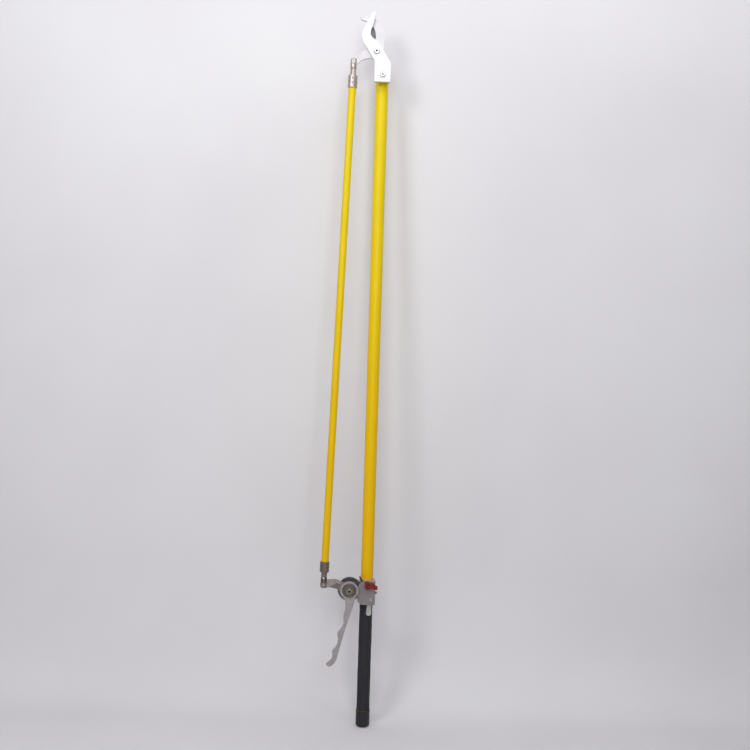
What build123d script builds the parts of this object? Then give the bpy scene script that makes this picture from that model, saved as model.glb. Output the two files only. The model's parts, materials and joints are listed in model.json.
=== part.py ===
from build123d import *
import os
from math import atan2, cos, hypot, radians, sin

os.makedirs("parts", exist_ok=True)

# Ratchet cable cutter on a hot stick, in millimetres.
# The origin is the centre of the butt on the pole's axis. Z runs up the pole, X to the right
# and Y to the back, so the cutting head, the ratchet and the lever face the front, at -Y.

# Fits
seat_gap = 0.2  # between end faces that nothing presses together
fit_gap = 0.05  # radial, around parts that are fastened in place
run_gap = 0.05  # radial, around pins that turn
side_gap = 0.2  # between faces that slide past each other

# Pole, grip and butt cap
pole_dia = 31.8
pole_wall = 3.2
grip_wall = 1.1
grip_gap = 0.3  # below the bracket
cap_wall = 2.1
cap_height = 42.0
cap_floor = 6.0
cap_round = 7.0
foot_steps = 5  # facets of the rounded foot

# Head socket on the pole's top
socket_foot = 1652.0
socket_height = 51.0
socket_roof = 5.0
socket_wall = 4.4
socket_ease = 2.5
bolt_spot = 3.0  # depth of the flat under the head bolt's washer
head_bolt_x = 0.9
head_bolt_rise = 17.6
head_bolt_dia = 8.0

# Jaw pivot
pivot_x = -16.4
pivot_rise = 77.0
pivot_dia = 12.0
bush_wall = 2.0

# Ratchet hub, left of the pole
hub_x = -43.7
hub_height = 356.5
spindle_dia = 12.0

# Cranked arms at the two ends of the operating rod, as length and angle from +X
crank_length = 67.5
crank_rest = 170.0
tail_length = 63.8
tail_rest = 205.0

# Layers ahead of the pole's axis, from the back to the front
wheel_clear = 2.5  # ahead of the pole's surface
wheel_thick = 5.6
blade_thick = 7.6
plate_thick = 7.5
lever_thick = 10.0
lever_web = 4.8
disc_thick = 7.6

# Operating rod and its clevises
rod_dia = 19.0
rod_wall = 2.4
ferrule_dia = 24.2
ferrule_floor = 4.0
shank_dia = 15.6
ear_dia = 16.8
ear_length = 19.0
slot_depth = 16.0
tongue_thick = 6.0
clevis_pin_dia = 8.0
open_pivot_gap = 1.9  # play of the top pin, where the linkage is opened
lower_shank = 31.5
lower_ferrule = 26.7
lower_screw_rise = 12.0
upper_shank = 34.5
upper_ferrule = 31.7
upper_screw_rises = (8.9, 19.7)
ear_ease = 1.6
ear_slope = 3.0
turned_ease = 0.8

# Ratchet and drive
wheel_dia = 62.4
wheel_teeth = 36
tooth_depth = 2.2
hub_plate_dia = 38.0
lever_ring_dia = 45.0
sleeve_dia = 16.0
disc_dia = 36.0
disc_slots = 16
slot_width = 2.7
slot_length = 7.6
plunger_dia = 5.0
nose_dia = 2.3
plunger_travel = 3.3

# Pawl, held off the wheel at rest
pawl_x = -3.5
pawl_drop = 7.5
pawl_lift = 6.5
pawl_pin_dia = 4.0

# Bracket on the pole
collar_wall = 4.1
collar_rise = 23.2
ear_rise = 12.0  # top of the clamp's ears above the hub
bracket_drop = 38.0
bracket_side = 5.9  # from the pole's surface to the right edge
cover_thick = 6.0
cover_rim = 0.8
clamp_margin = 3.4
clamp_thick = 12.0

# Release lever and thumb tab
release_x = 2.2
release_rise = 9.5
release_thick = 8.0
tab_x = 11.5
tab_drop = 24.5
tab_thick = 3.0

# Fasteners of the bracket
clamp_screw_dia = 4.0
clamp_screw_side = 3.4
clamp_screw_margin = 8.0
clamp_head_dia = 6.8
clamp_head_tall = 3.6
clamp_screw_reach = 8.0
screw_end_gap = 0.8  # between a screw's tip and the end of its hole
lock_screw_dia = 5.0
lock_screw_reach = 9.0
lock_screw_drop = 9.1
lock_head_dia = 6.2
lock_head_tall = 4.6
lock_ahead = 15.0
tab_pin_dia = 4.0
tab_head_dia = 9.2
tab_head_tall = 2.6
release_shaft_dia = 7.0

# Heads of the screws and bolts
head_ease = 1.2
key_floor = 1.8
small_key = 3.0

# Springs
spring_wire = 0.7
plunger_coil_pitch = 2.2
plunger_coil_height = 8.5
pawl_coil_radius = 1.9
pawl_coil_pitch = 1.7
pawl_coil_height = 5.9
tab_coil_radius = 3.0
tab_coil_pitch = 0.95
tab_coil_height = 1.3

# Derived sizes and places
grip_dia = pole_dia + 2 * grip_wall
cap_dia = pole_dia + 2 * cap_wall
socket_width = pole_dia + 2 * socket_wall
collar_dia = pole_dia + 2 * collar_wall
bracket_right = pole_dia / 2 + bracket_side
clamp_screw_x = pole_dia / 2 + clamp_screw_side
clamp_reach = clamp_screw_x + clamp_margin
wheel_back = pole_dia / 2 + wheel_clear
pole_foot = cap_floor + seat_gap
pole_top = socket_foot + socket_height - socket_roof - seat_gap
jaw_pivot = (pivot_x, socket_foot + pivot_rise)
head_bolt_at = (head_bolt_x, socket_foot + head_bolt_rise)
hub = (hub_x, hub_height)
crank_eye = (crank_length * cos(radians(crank_rest)), crank_length * sin(radians(crank_rest)))
tail_eye = (tail_length * cos(radians(tail_rest)), tail_length * sin(radians(tail_rest)))
lower_pin = (hub[0] + crank_eye[0], hub[1] + crank_eye[1])
upper_pin = (jaw_pivot[0] + tail_eye[0], jaw_pivot[1] + tail_eye[1])
rod_lean = atan2(upper_pin[0] - lower_pin[0], upper_pin[1] - lower_pin[1])
pin_distance = hypot(upper_pin[0] - lower_pin[0], upper_pin[1] - lower_pin[1])

blade_back = wheel_back + wheel_thick + side_gap
blade_front = blade_back + blade_thick
plate_back = blade_front + side_gap
plate_front = plate_back + plate_thick
rod_ahead = blade_back + blade_thick / 2
disc_back = plate_back + lever_web + side_gap
disc_front = disc_back + disc_thick
pawl_at = (pawl_x, hub_height - pawl_drop)
release_at = (release_x, hub_height + release_rise)
tab_at = (tab_x, hub_height - tab_drop)
cover_back = blade_back
cover_front = cover_back + cover_thick
bracket_foot = hub_height - bracket_drop
grip_top = bracket_foot - grip_gap
mech_floor = wheel_back - 2 * side_gap
lock_height = hub_height - lock_screw_drop
ear_height = ear_rise + bracket_drop
clamp_heights = (bracket_foot + clamp_screw_margin, bracket_foot + ear_height - clamp_screw_margin)
clamp_places = [(x, z) for x in (-clamp_screw_x, clamp_screw_x) for z in clamp_heights]


def ahead(distance, at=(0.0, 0.0), turn=0.0):
    # A drawing plane that faces the front, that far ahead of the pole's axis.
    # Its own origin is at the place (x, z), turned clockwise in degrees.
    a = radians(turn)
    return Plane(origin=(at[0], -distance, at[1]), x_dir=(cos(a), 0, -sin(a)), z_dir=(0, -1, 0))


def polar(radius, angle):
    return (radius * cos(radians(angle)), radius * sin(radians(angle)))


def cap_bolt(at, back, seat, shank, head, height, key):
    # Round-headed bolt along Y with a hexagon socket, from its tip at back to its head on seat
    with BuildPart() as bolt:
        with BuildSketch(ahead(back, at)):
            Circle(shank / 2)
        extrude(amount=seat - back)
        with BuildSketch(ahead(seat, at)):
            Circle(head / 2)
        extrude(amount=height)
        chamfer(bolt.faces().sort_by(Axis.Y)[0].edges(), length=head_ease)
        with BuildSketch(ahead(seat + height, at)):
            RegularPolygon(radius=key / 2, side_count=6, major_radius=False)
        extrude(amount=key_floor - height, mode=Mode.SUBTRACT)
    return bolt


def hex_nut(at, front, thick, bore, flats):
    # Hexagon nut along Y whose front face lies at front
    with BuildPart() as nut:
        with BuildSketch(ahead(front - thick, at)):
            RegularPolygon(radius=flats / 2, side_count=6, major_radius=False)
            Circle(bore / 2 + fit_gap, mode=Mode.SUBTRACT)
        extrude(amount=thick)
    return nut


def coil_spring(foot, direction, radius, pitch, height):
    # Square-wire coil spring from its foot along a direction
    with BuildPart() as spring:
        with BuildLine() as coil:
            Helix(pitch=pitch, height=height, radius=radius, center=foot, direction=direction)
        with BuildSketch(Plane(origin=coil.line @ 0, z_dir=coil.line % 0)):
            Rectangle(spring_wire, spring_wire)
        sweep(path=coil.line, is_frenet=True)
    return spring


def washer(at, front, thick, bore, outer):
    with BuildPart() as ring:
        with BuildSketch(ahead(front - thick, at)):
            Circle(outer / 2)
            Circle(bore / 2 + fit_gap, mode=Mode.SUBTRACT)
        extrude(amount=thick)
    return ring


# Main pole: fibreglass tube around a foam core, drilled for the head bolt
with BuildPart() as main_pole:
    with BuildSketch(Plane.XY.offset(pole_foot)):
        Circle(pole_dia / 2)
        Circle(pole_dia / 2 - pole_wall, mode=Mode.SUBTRACT)
    extrude(amount=pole_top - pole_foot)
    with Locations(ahead(0, head_bolt_at)):
        Hole(head_bolt_dia / 2 + fit_gap)
main_pole.part.label = "main_pole"
export_step(main_pole.part, "parts/main_pole.step")

with BuildPart() as pole_core:
    with BuildSketch(Plane.XY.offset(pole_foot)):
        Circle(pole_dia / 2 - pole_wall - fit_gap)
    extrude(amount=pole_top - pole_foot)
    with Locations(ahead(0, head_bolt_at)):
        Hole(head_bolt_dia / 2 + fit_gap)
pole_core.part.label = "pole_core"
export_step(pole_core.part, "parts/pole_core.step")

# Rubber grip between the butt cap and the bracket
with BuildPart() as grip_sleeve:
    with BuildSketch(Plane.XY.offset(cap_height + seat_gap)):
        Circle(grip_dia / 2)
        Circle(pole_dia / 2 + fit_gap, mode=Mode.SUBTRACT)
    extrude(amount=grip_top - cap_height - seat_gap)
grip_sleeve.part.label = "grip_sleeve"
export_step(grip_sleeve.part, "parts/grip_sleeve.step")

# Butt cap: a cup with a rounded foot
with BuildPart() as butt_cap:
    with BuildSketch(Plane.XZ):
        with BuildLine():
            foot_arc = [polar(cap_round, step * 90 / foot_steps - 90) for step in range(foot_steps + 1)]
            foot_points = [(cap_dia / 2 - cap_round + x, cap_round + z) for x, z in foot_arc]
            Polyline((0, 0), *foot_points, (cap_dia / 2, cap_height), (pole_dia / 2 + fit_gap, cap_height),
                     (pole_dia / 2 + fit_gap, cap_floor), (0, cap_floor), (0, 0))
        make_face()
    revolve(axis=Axis.Z)
butt_cap.part.label = "butt_cap"
export_step(butt_cap.part, "parts/butt_cap.step")

# Head socket: round at the back, with a square nose that reaches forward to the jaw plate
with BuildPart() as head_socket:
    with BuildSketch(Plane.XY.offset(socket_foot)):
        Circle(socket_width / 2)
        with Locations((0, -plate_back / 2)):
            Rectangle(socket_width, plate_back)
    extrude(amount=socket_height)
    chamfer(head_socket.faces().sort_by(Axis.Z)[-1].edges().filter_by(GeomType.CIRCLE), length=socket_ease)
    with BuildSketch(Plane.XY.offset(socket_foot)):
        Circle(pole_dia / 2 + fit_gap)
    extrude(amount=socket_height - socket_roof, mode=Mode.SUBTRACT)
    with Locations(ahead(0, head_bolt_at)):
        Hole(head_bolt_dia / 2 + fit_gap)
    with BuildSketch(ahead(-socket_width / 2, head_bolt_at)):
        Circle(head_bolt_dia)
    extrude(amount=bolt_spot, mode=Mode.SUBTRACT)
head_socket.part.label = "head_socket"
export_step(head_socket.part, "parts/head_socket.step")

# Fixed jaw: a hooked plate, drawn about the jaw pivot
cutting_foot = (-4.2, 29.6)
cutting_belly = (-3.6, 45.0)
cutting_head = (-11.2, 65.5)
hook_front = (-5.0, 95.0)
hook_back = (-14.6, 96.4)
spine_top = (-33.5, 57.5)
spine_foot = (-32.5, 19.2)
edge_land = 0.8
foot_round = 2.0
# height above the pivot, start of the bevel and cutting edge
bevel_sections = ((29.8, -4.9, -4.1), (31.0, -7.4, -3.9), (36.0, -13.3, -3.4), (42.2, -16.9, -3.4),
                  (52.8, -16.4, -5.3), (60.0, -13.7, -8.1), (65.2, -11.3, -11.0))
plate_left = -socket_width / 2 - pivot_x
plate_right = socket_width / 2 - pivot_x
with BuildPart() as fixed_jaw:
    with BuildSketch(ahead(plate_back, jaw_pivot)):
        with BuildLine():
            Polyline(spine_foot, (plate_left, -24.6), (plate_left, -pivot_rise),
                     (plate_right, -pivot_rise), (plate_right, -27.6), (2.5, 23.6), cutting_foot)
            ThreePointArc(cutting_foot, cutting_belly, cutting_head)
            Line(cutting_head, hook_front)
            ThreePointArc(hook_front, (-9.2, 100.1), hook_back)
            Line(hook_back, spine_top)
            ThreePointArc(spine_top, (-38.7, 38.9), spine_foot)
        make_face()
    extrude(amount=plate_thick)
    fillet(fixed_jaw.edges().filter_by(Axis.Y).group_by(Axis.Z)[0], radius=foot_round)
    # hollow bevel, ground from the front face down to a thin land behind
    for rise, outer, inner in bevel_sections:
        with BuildSketch(Plane.XY.offset(jaw_pivot[1] + rise)):
            Polygon((pivot_x + outer, -plate_front), (pivot_x + inner, -plate_back - edge_land),
                    (pivot_x + inner + plate_thick, -plate_back - edge_land),
                    (pivot_x + inner + plate_thick, -plate_front - seat_gap),
                    (pivot_x + outer, -plate_front - seat_gap), align=None)
    loft(ruled=True, mode=Mode.SUBTRACT)
    with Locations(ahead(plate_back, jaw_pivot)):
        Hole(pivot_dia / 2 + fit_gap)
    with Locations(ahead(plate_back, head_bolt_at)):
        Hole(head_bolt_dia / 2 + fit_gap)
fixed_jaw.part.label = "fixed_jaw"
export_step(fixed_jaw.part, "parts/fixed_jaw.step")

# Moving jaw: a beak that passes behind the fixed jaw, a round boss and a tail to the rod
jaw_boss_dia = 39.0
blade_bevel = 3.0
tail_eye_dia = 20.4
throat_foot = (-10.5, 24.4)
throat_top = (-9.4, 61.0)
beak_inner = (-40.2, 80.2)
beak_tip = (-43.5, 87.8)
heel = (17.6, 25.9)
tail_top = (-14.0, 16.0)
tail_root = (-12.0, -15.4)
with BuildPart() as moving_jaw:
    with BuildSketch(ahead(blade_back, jaw_pivot)):
        Circle(jaw_boss_dia / 2)
        with BuildLine():
            throat = ThreePointArc(throat_foot, (-4.6, 43.0), throat_top)
            TangentArc(throat_top, beak_inner, tangent=throat % 1)
            Line(beak_inner, beak_tip)
            ThreePointArc(beak_tip, (5.6, 75.6), heel)
            Polyline(heel, (jaw_boss_dia / 2, 2.0), (0, 0), (-19.0, 4.0), throat_foot)
        make_face()
        with BuildLine():
            low = (tail_eye[0] + 7.4, tail_eye[1] - 7.0)
            Polyline(tail_top, (-28.4, 8.8), (-47.7, -11.5), (tail_eye[0] + 2.0, tail_eye[1] + 10.0),
                     tail_eye, low)
            ThreePointArc(low, (-34.5, -20.6), tail_root)
            Polyline(tail_root, (0, 0), tail_top)
        make_face()
        with Locations(tail_eye):
            Circle(tail_eye_dia / 2)
    extrude(amount=blade_thick)
    high_edges = moving_jaw.faces().sort_by(Axis.Y)[-1].edges().filter_by(GeomType.CIRCLE).filter_by(
        lambda e: e.center(CenterOf.MASS).Z > jaw_pivot[1] + jaw_boss_dia)
    chamfer(high_edges.sort_by(SortBy.RADIUS)[:2], length=blade_bevel)
    tongue_step = (blade_thick - tongue_thick) / 2
    for face, depth in ((blade_back, tongue_step), (blade_front, -tongue_step)):
        with BuildSketch(ahead(face, jaw_pivot)):
            Polygon((-49.0, -9.5), (-38.5, -25.5), (-44.0, -46.0), (-76.0, -46.0), (-76.0, -9.5), align=None)
        extrude(amount=depth, mode=Mode.SUBTRACT)
    with Locations(ahead(blade_back, jaw_pivot)):
        Hole(pivot_dia / 2 + bush_wall + fit_gap)
    with Locations(ahead(blade_back, upper_pin)):
        Hole(clevis_pin_dia / 2 + open_pivot_gap)
moving_jaw.part.label = "moving_jaw"
export_step(moving_jaw.part, "parts/moving_jaw.step")

with BuildPart() as jaw_bush:
    with BuildSketch(ahead(blade_back, jaw_pivot)):
        Circle(pivot_dia / 2 + bush_wall)
        Circle(pivot_dia / 2 + run_gap, mode=Mode.SUBTRACT)
    extrude(amount=blade_thick)
jaw_bush.part.label = "jaw_bush"
export_step(jaw_bush.part, "parts/jaw_bush.step")

# Jaw pivot bolt, its washer and its nut behind the moving jaw
washer_thick = 1.6
pivot_nut_thick = 6.5
pivot_nut_flats = 18.0
pivot_washer_dia = 22.0
pivot_head_dia = 14.5
pivot_head_tall = 4.5
pivot_key = 5.0
thread_end = 2.0  # how far the bolts stand out of their nuts
pivot_washer_front = blade_back - side_gap
pivot_nut_front = pivot_washer_front - washer_thick
pivot_bolt_end = pivot_nut_front - pivot_nut_thick - thread_end
jaw_pivot_bolt = cap_bolt(jaw_pivot, pivot_bolt_end, plate_front, pivot_dia, pivot_head_dia, pivot_head_tall,
                          pivot_key)
jaw_pivot_bolt.part.label = "jaw_pivot_bolt"
export_step(jaw_pivot_bolt.part, "parts/jaw_pivot_bolt.step")

jaw_pivot_washer = washer(jaw_pivot, pivot_washer_front, washer_thick, pivot_dia, pivot_washer_dia)
jaw_pivot_washer.part.label = "jaw_pivot_washer"
export_step(jaw_pivot_washer.part, "parts/jaw_pivot_washer.step")

jaw_pivot_nut = hex_nut(jaw_pivot, pivot_nut_front, pivot_nut_thick, pivot_dia, pivot_nut_flats)
jaw_pivot_nut.part.label = "jaw_pivot_nut"
export_step(jaw_pivot_nut.part, "parts/jaw_pivot_nut.step")

# Head bolt through plate, socket and pole, with its nut and washer at the back
socket_seat = -socket_width / 2 + bolt_spot
head_nut_thick = 6.0
head_nut_flats = 13.0
head_washer_dia = 15.0
bolt_head_dia = 13.0
bolt_head_tall = 4.5
head_key = 4.0
head_washer = washer(head_bolt_at, socket_seat, washer_thick, head_bolt_dia, head_washer_dia)
head_washer.part.label = "head_washer"
export_step(head_washer.part, "parts/head_washer.step")

head_nut_front = socket_seat - washer_thick
head_nut = hex_nut(head_bolt_at, head_nut_front, head_nut_thick, head_bolt_dia, head_nut_flats)
head_nut.part.label = "head_nut"
export_step(head_nut.part, "parts/head_nut.step")

head_bolt_end = head_nut_front - head_nut_thick - thread_end
head_bolt = cap_bolt(head_bolt_at, head_bolt_end, plate_front, head_bolt_dia, bolt_head_dia, bolt_head_tall,
                     head_key)
head_bolt.part.label = "head_bolt"
export_step(head_bolt.part, "parts/head_bolt.step")

# Operating rod: a plane at each pin, looking along the rod
lower_plane = Plane(origin=(lower_pin[0], -rod_ahead, lower_pin[1]),
                    x_dir=(cos(rod_lean), 0, -sin(rod_lean)), z_dir=(sin(rod_lean), 0, cos(rod_lean)))
upper_plane = Plane(origin=(upper_pin[0], -rod_ahead, upper_pin[1]),
                    x_dir=(-cos(rod_lean), 0, sin(rod_lean)), z_dir=(-sin(rod_lean), 0, -cos(rod_lean)))
tube_foot = lower_shank + ferrule_floor + seat_gap
tube_length = pin_distance - tube_foot - upper_shank - ferrule_floor - seat_gap

with BuildPart() as operating_rod:
    with BuildSketch(lower_plane.offset(tube_foot)):
        Circle(rod_dia / 2)
        Circle(rod_dia / 2 - rod_wall, mode=Mode.SUBTRACT)
    extrude(amount=tube_length)
operating_rod.part.label = "operating_rod"
export_step(operating_rod.part, "parts/operating_rod.step")

with BuildPart() as rod_core:
    with BuildSketch(lower_plane.offset(tube_foot)):
        Circle(rod_dia / 2 - rod_wall - fit_gap)
    extrude(amount=tube_length)
rod_core.part.label = "rod_core"
export_step(rod_core.part, "parts/rod_core.step")


def clevis(pin_plane, shank, ferrule, screw_places):
    # Turned fork: slotted ears around the pin, a narrow shank and a ferrule over the rod's end.
    # The plane's own Z runs from the pin towards the rod.
    rim = ear_dia / 2
    section = Plane(origin=pin_plane.origin, x_dir=pin_plane.x_dir, z_dir=-pin_plane.y_dir)
    with BuildPart() as fork:
        with BuildSketch(section):
            with BuildLine():
                Polyline((0, -rim), (rim - ear_ease, -rim), (rim, -rim + ear_ease),
                         (rim, ear_length - ear_slope),
                         (shank_dia / 2 - turned_ease, ear_length), (shank_dia / 2, shank),
                         (ferrule_dia / 2 - turned_ease, shank), (ferrule_dia / 2, shank + turned_ease),
                         (ferrule_dia / 2, shank + ferrule - turned_ease),
                         (ferrule_dia / 2 - turned_ease, shank + ferrule),
                         (rod_dia / 2 + fit_gap, shank + ferrule),
                         (rod_dia / 2 + fit_gap, shank + ferrule_floor),
                         (0, shank + ferrule_floor), (0, -rim))
            make_face()
        revolve(axis=Axis(pin_plane.origin, pin_plane.z_dir))
        with BuildSketch(pin_plane.offset(-ear_dia)):
            Rectangle(2 * ear_dia, tongue_thick + 2 * side_gap)
        extrude(amount=ear_dia + slot_depth, mode=Mode.SUBTRACT)
        with Locations(Plane(origin=pin_plane.origin, x_dir=pin_plane.x_dir, z_dir=(0, -1, 0))):
            Hole(clevis_pin_dia / 2 + fit_gap)
        for place in screw_places:
            spot = pin_plane.origin + pin_plane.z_dir * place
            with BuildSketch(Plane(origin=spot, x_dir=pin_plane.x_dir, z_dir=(0, -1, 0))):
                Circle(ferrule_screw_dia / 2 + fit_gap)
            extrude(amount=ferrule_dia, mode=Mode.SUBTRACT)
    return fork


ferrule_screw_dia = 3.6
lower_screws = (lower_shank + lower_screw_rise,)
upper_screws = [upper_shank + rise for rise in upper_screw_rises]

top_clevis = clevis(upper_plane, upper_shank, upper_ferrule, upper_screws)
top_clevis.part.label = "top_clevis"
export_step(top_clevis.part, "parts/top_clevis.step")

bottom_clevis = clevis(lower_plane, lower_shank, lower_ferrule, lower_screws)
bottom_clevis.part.label = "bottom_clevis"
export_step(bottom_clevis.part, "parts/bottom_clevis.step")

# Small screws that hold the rod in its ferrules, one node
with BuildPart() as ferrule_screws:
    for plane, places in ((lower_plane, lower_screws), (upper_plane, upper_screws)):
        for place in places:
            spot = plane.origin + plane.z_dir * place + Vector(0, -rod_dia / 2 - seat_gap, 0)
            with BuildSketch(Plane(origin=spot, x_dir=plane.x_dir, z_dir=(0, -1, 0))):
                Circle(ferrule_screw_dia / 2)
            extrude(amount=(ferrule_dia - rod_dia) / 2)
ferrule_screws.part.label = "ferrule_screws"
export_step(ferrule_screws.part, "parts/ferrule_screws.step")


pin_head_rim = 1.2
pin_head_tall = 1.4
pin_tail = 2.4
groove_width = 1.0
groove_depth = 0.8
clip_thick = 0.8
clip_rim = 1.8
clip_mouth = 3.0
groove_back = rod_ahead - ear_dia / 2 - pin_tail / 2


def clevis_pin(at):
    # Headed pin through the ears, with a groove at the back for its clip
    reach = ear_dia / 2
    with BuildPart() as pin:
        with BuildSketch(ahead(rod_ahead - reach - pin_tail, at)):
            Circle(clevis_pin_dia / 2)
        extrude(amount=2 * reach + pin_tail)
        with BuildSketch(ahead(rod_ahead + reach, at)):
            Circle(clevis_pin_dia / 2 + pin_head_rim)
        extrude(amount=pin_head_tall)
        with BuildSketch(ahead(groove_back, at)):
            Circle(clevis_pin_dia)
            Circle(clevis_pin_dia / 2 - groove_depth, mode=Mode.SUBTRACT)
        extrude(amount=groove_width, mode=Mode.SUBTRACT)
    return pin


top_clevis_pin = clevis_pin(upper_pin)
top_clevis_pin.part.label = "top_clevis_pin"
export_step(top_clevis_pin.part, "parts/top_clevis_pin.step")

bottom_clevis_pin = clevis_pin(lower_pin)
bottom_clevis_pin.part.label = "bottom_clevis_pin"
export_step(bottom_clevis_pin.part, "parts/bottom_clevis_pin.step")

with BuildPart() as pin_clips:
    for place in (upper_pin, lower_pin):
        with BuildSketch(ahead(groove_back + (groove_width - clip_thick) / 2, place)):
            Circle(clevis_pin_dia / 2 + clip_rim)
            Circle(clevis_pin_dia / 2 - groove_depth + fit_gap, mode=Mode.SUBTRACT)
            with Locations((0, -clevis_pin_dia / 2)):
                Rectangle(clip_mouth, clevis_pin_dia, mode=Mode.SUBTRACT)
        extrude(amount=clip_thick)
pin_clips.part.label = "pin_clips"
export_step(pin_clips.part, "parts/pin_clips.step")

# Crank: hub plate and sleeve with a ribbed arm out to the rod, drawn about the hub
eye_x, eye_z = crank_eye
crank_eye_dia = 18.0
plate_shoulder = 25.6
arm_sink = 1.6
arm_groove = 1.6
arm_waist = (-11.0, -23.0)
arm_crook = (-25.3, -3.4)
arm_root = (eye_x + 6.0, eye_z - 8.0)
tongue_width = 26.6
dowel_dia = 4.0
dowels = 3
dowel_turn = 60
dowel_inset = 0.4
dowel_circle = 13.6
with BuildPart() as crank_arm:
    with BuildSketch(ahead(blade_back, hub)):
        Circle(hub_plate_dia / 2)
        with Locations(crank_eye):
            Circle(crank_eye_dia / 2)
        with BuildLine():
            Polyline((eye_x, eye_z + crank_eye_dia / 2), (-57.0, 24.6), (-37.0, 25.4), (-28.0, 22.8),
                     (-19.6, 18.6), (-8.0, 16.8), (0, 0), arm_waist)
            ThreePointArc(arm_waist, (-20.8, -14.8), arm_crook)
            ThreePointArc(arm_crook, (-36.0, 1.6), arm_root)
            Polyline(arm_root, crank_eye, (eye_x, eye_z + crank_eye_dia / 2))
        make_face()
    extrude(amount=blade_thick)
    # lower web of the arm, thinner than its upper rib
    with BuildSketch(ahead(blade_front, hub)):
        Polygon((-54.0, 0.0), (-53.0, 4.5), (-33.0, 17.0), (-20.0, 13.0), (-8.0, -26.0), (-54.0, -26.0),
                align=None)
        Circle(plate_shoulder, mode=Mode.SUBTRACT)
    extrude(amount=-arm_sink, mode=Mode.SUBTRACT)
    # groove between the hub's round plate and the arm
    with BuildSketch(ahead(blade_front, hub)):
        Circle(plate_shoulder + arm_groove)
        Circle(plate_shoulder, mode=Mode.SUBTRACT)
        Rectangle(3 * plate_shoulder, 3 * plate_shoulder, align=(Align.MIN, Align.CENTER), mode=Mode.SUBTRACT)
    extrude(amount=-2 * arm_sink, mode=Mode.SUBTRACT)
    # tongue inside the clevis
    for face, depth in ((blade_back, tongue_step), (blade_front, -tongue_step)):
        with BuildSketch(ahead(face, lower_pin)):
            Rectangle(tongue_width, 3 * ear_dia)
        extrude(amount=depth, mode=Mode.SUBTRACT)
    with BuildSketch(ahead(blade_front, hub)):
        Circle(sleeve_dia / 2)
    extrude(amount=disc_front - blade_front)
    with Locations(ahead(blade_back, hub)):
        Hole(spindle_dia / 2 + run_gap)
    with Locations(ahead(blade_back, lower_pin)):
        Hole(clevis_pin_dia / 2 + run_gap)
    with BuildSketch(ahead(blade_back, hub)):
        with PolarLocations(dowel_circle, dowels, start_angle=dowel_turn):
            Circle(dowel_dia / 2 + fit_gap)
    extrude(amount=blade_thick, mode=Mode.SUBTRACT)
crank_arm.part.label = "crank_arm"
export_step(crank_arm.part, "parts/crank_arm.step")

# Ratchet wheel: saw teeth whose steep faces stop it from turning clockwise
tooth_pitch = 360 / wheel_teeth
pawl_nose_angle = 19.0
tooth_phase = pawl_nose_angle + 1.9
tip = wheel_dia / 2
with BuildPart() as ratchet_wheel:
    with BuildSketch(ahead(wheel_back, hub)):
        Circle(tip)
        with PolarLocations(0, wheel_teeth, start_angle=tooth_phase % tooth_pitch):
            Polygon(polar(tip + 1, 0.4), polar(tip - tooth_depth, -0.7), polar(tip, 1.3 - tooth_pitch),
                    polar(tip + 1, 1.0 - tooth_pitch), align=None, mode=Mode.SUBTRACT)
        Circle(spindle_dia / 2 + run_gap, mode=Mode.SUBTRACT)
        with PolarLocations(dowel_circle, dowels, start_angle=dowel_turn):
            Circle(dowel_dia / 2 + fit_gap, mode=Mode.SUBTRACT)
    extrude(amount=wheel_thick)
ratchet_wheel.part.label = "ratchet_wheel"
export_step(ratchet_wheel.part, "parts/ratchet_wheel.step")

with BuildPart() as wheel_dowels:
    with BuildSketch(ahead(wheel_back + dowel_inset, hub)):
        with PolarLocations(dowel_circle, dowels, start_angle=dowel_turn):
            Circle(dowel_dia / 2)
    extrude(amount=blade_front - wheel_back - 2 * dowel_inset)
wheel_dowels.part.label = "wheel_dowels"
export_step(wheel_dowels.part, "parts/wheel_dowels.step")

# Drive disc on the crank's sleeve, with radial slots for the lever's plunger
disc_ease = 1.0
slot_over = 1.0  # how far the cutter of a slot reaches past the rim
with BuildPart() as drive_disc:
    with BuildSketch(ahead(disc_back, hub)):
        Circle(disc_dia / 2)
        Circle(sleeve_dia / 2 + fit_gap, mode=Mode.SUBTRACT)
    extrude(amount=disc_thick)
    chamfer(drive_disc.faces().sort_by(Axis.Y)[0].edges().sort_by(SortBy.RADIUS)[-1], length=disc_ease)
    with BuildSketch(ahead(disc_back, hub)):
        with PolarLocations(disc_dia / 2 + (slot_over - slot_length) / 2, disc_slots, start_angle=-90):
            Rectangle(slot_length + slot_over, slot_width)
    extrude(amount=disc_thick, mode=Mode.SUBTRACT)
drive_disc.part.label = "drive_disc"
export_step(drive_disc.part, "parts/drive_disc.step")

# Squeeze lever: ring around the drive disc, neck and a handle with finger humps
ring_bore = disc_dia / 2 + 0.4
plunger_ahead = disc_back + 2.2
nose_wall = 3.2  # wall of the ring that guides the plunger's nose
bore_foot = 46.0
plunger_foot = 36.0
handle_back = 2.0  # how far the handle is thicker than the ring, behind and ahead
curl_start = (-38.9, -190.6)
palm_foot = (-25.6, -167.0)
lever_outer = ((-17.0, -10.5), (-13.0, -19.5), (-9.6, -32.0), (-9.2, -47.5), (-13.2, -62.3), (-13.4, -86.0),
               (-23.0, -100.5), (-27.2, -110.6), (-25.2, -122.4), (-26.4, -132.0), (-31.0, -142.5),
               (-38.0, -150.6), (-39.4, -159.5), (-38.6, -168.0), (-43.7, -176.2), (-54.2, -185.0))


def lever_outline():
    # fingers' side with its humps, the curled tip and the palm's side, drawn about the hub
    with BuildLine() as outline:
        Spline(*lever_outer)
        ThreePointArc(lever_outer[-1], (-47.5, -192.8), curl_start)
        ThreePointArc(curl_start, (-30.6, -181.0), palm_foot)
        Polyline(palm_foot, (-7.5, -98.0), (14.6, -25.8), (17.0, -12.0), (0, 0), lever_outer[0])
    return outline.edges()


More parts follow.
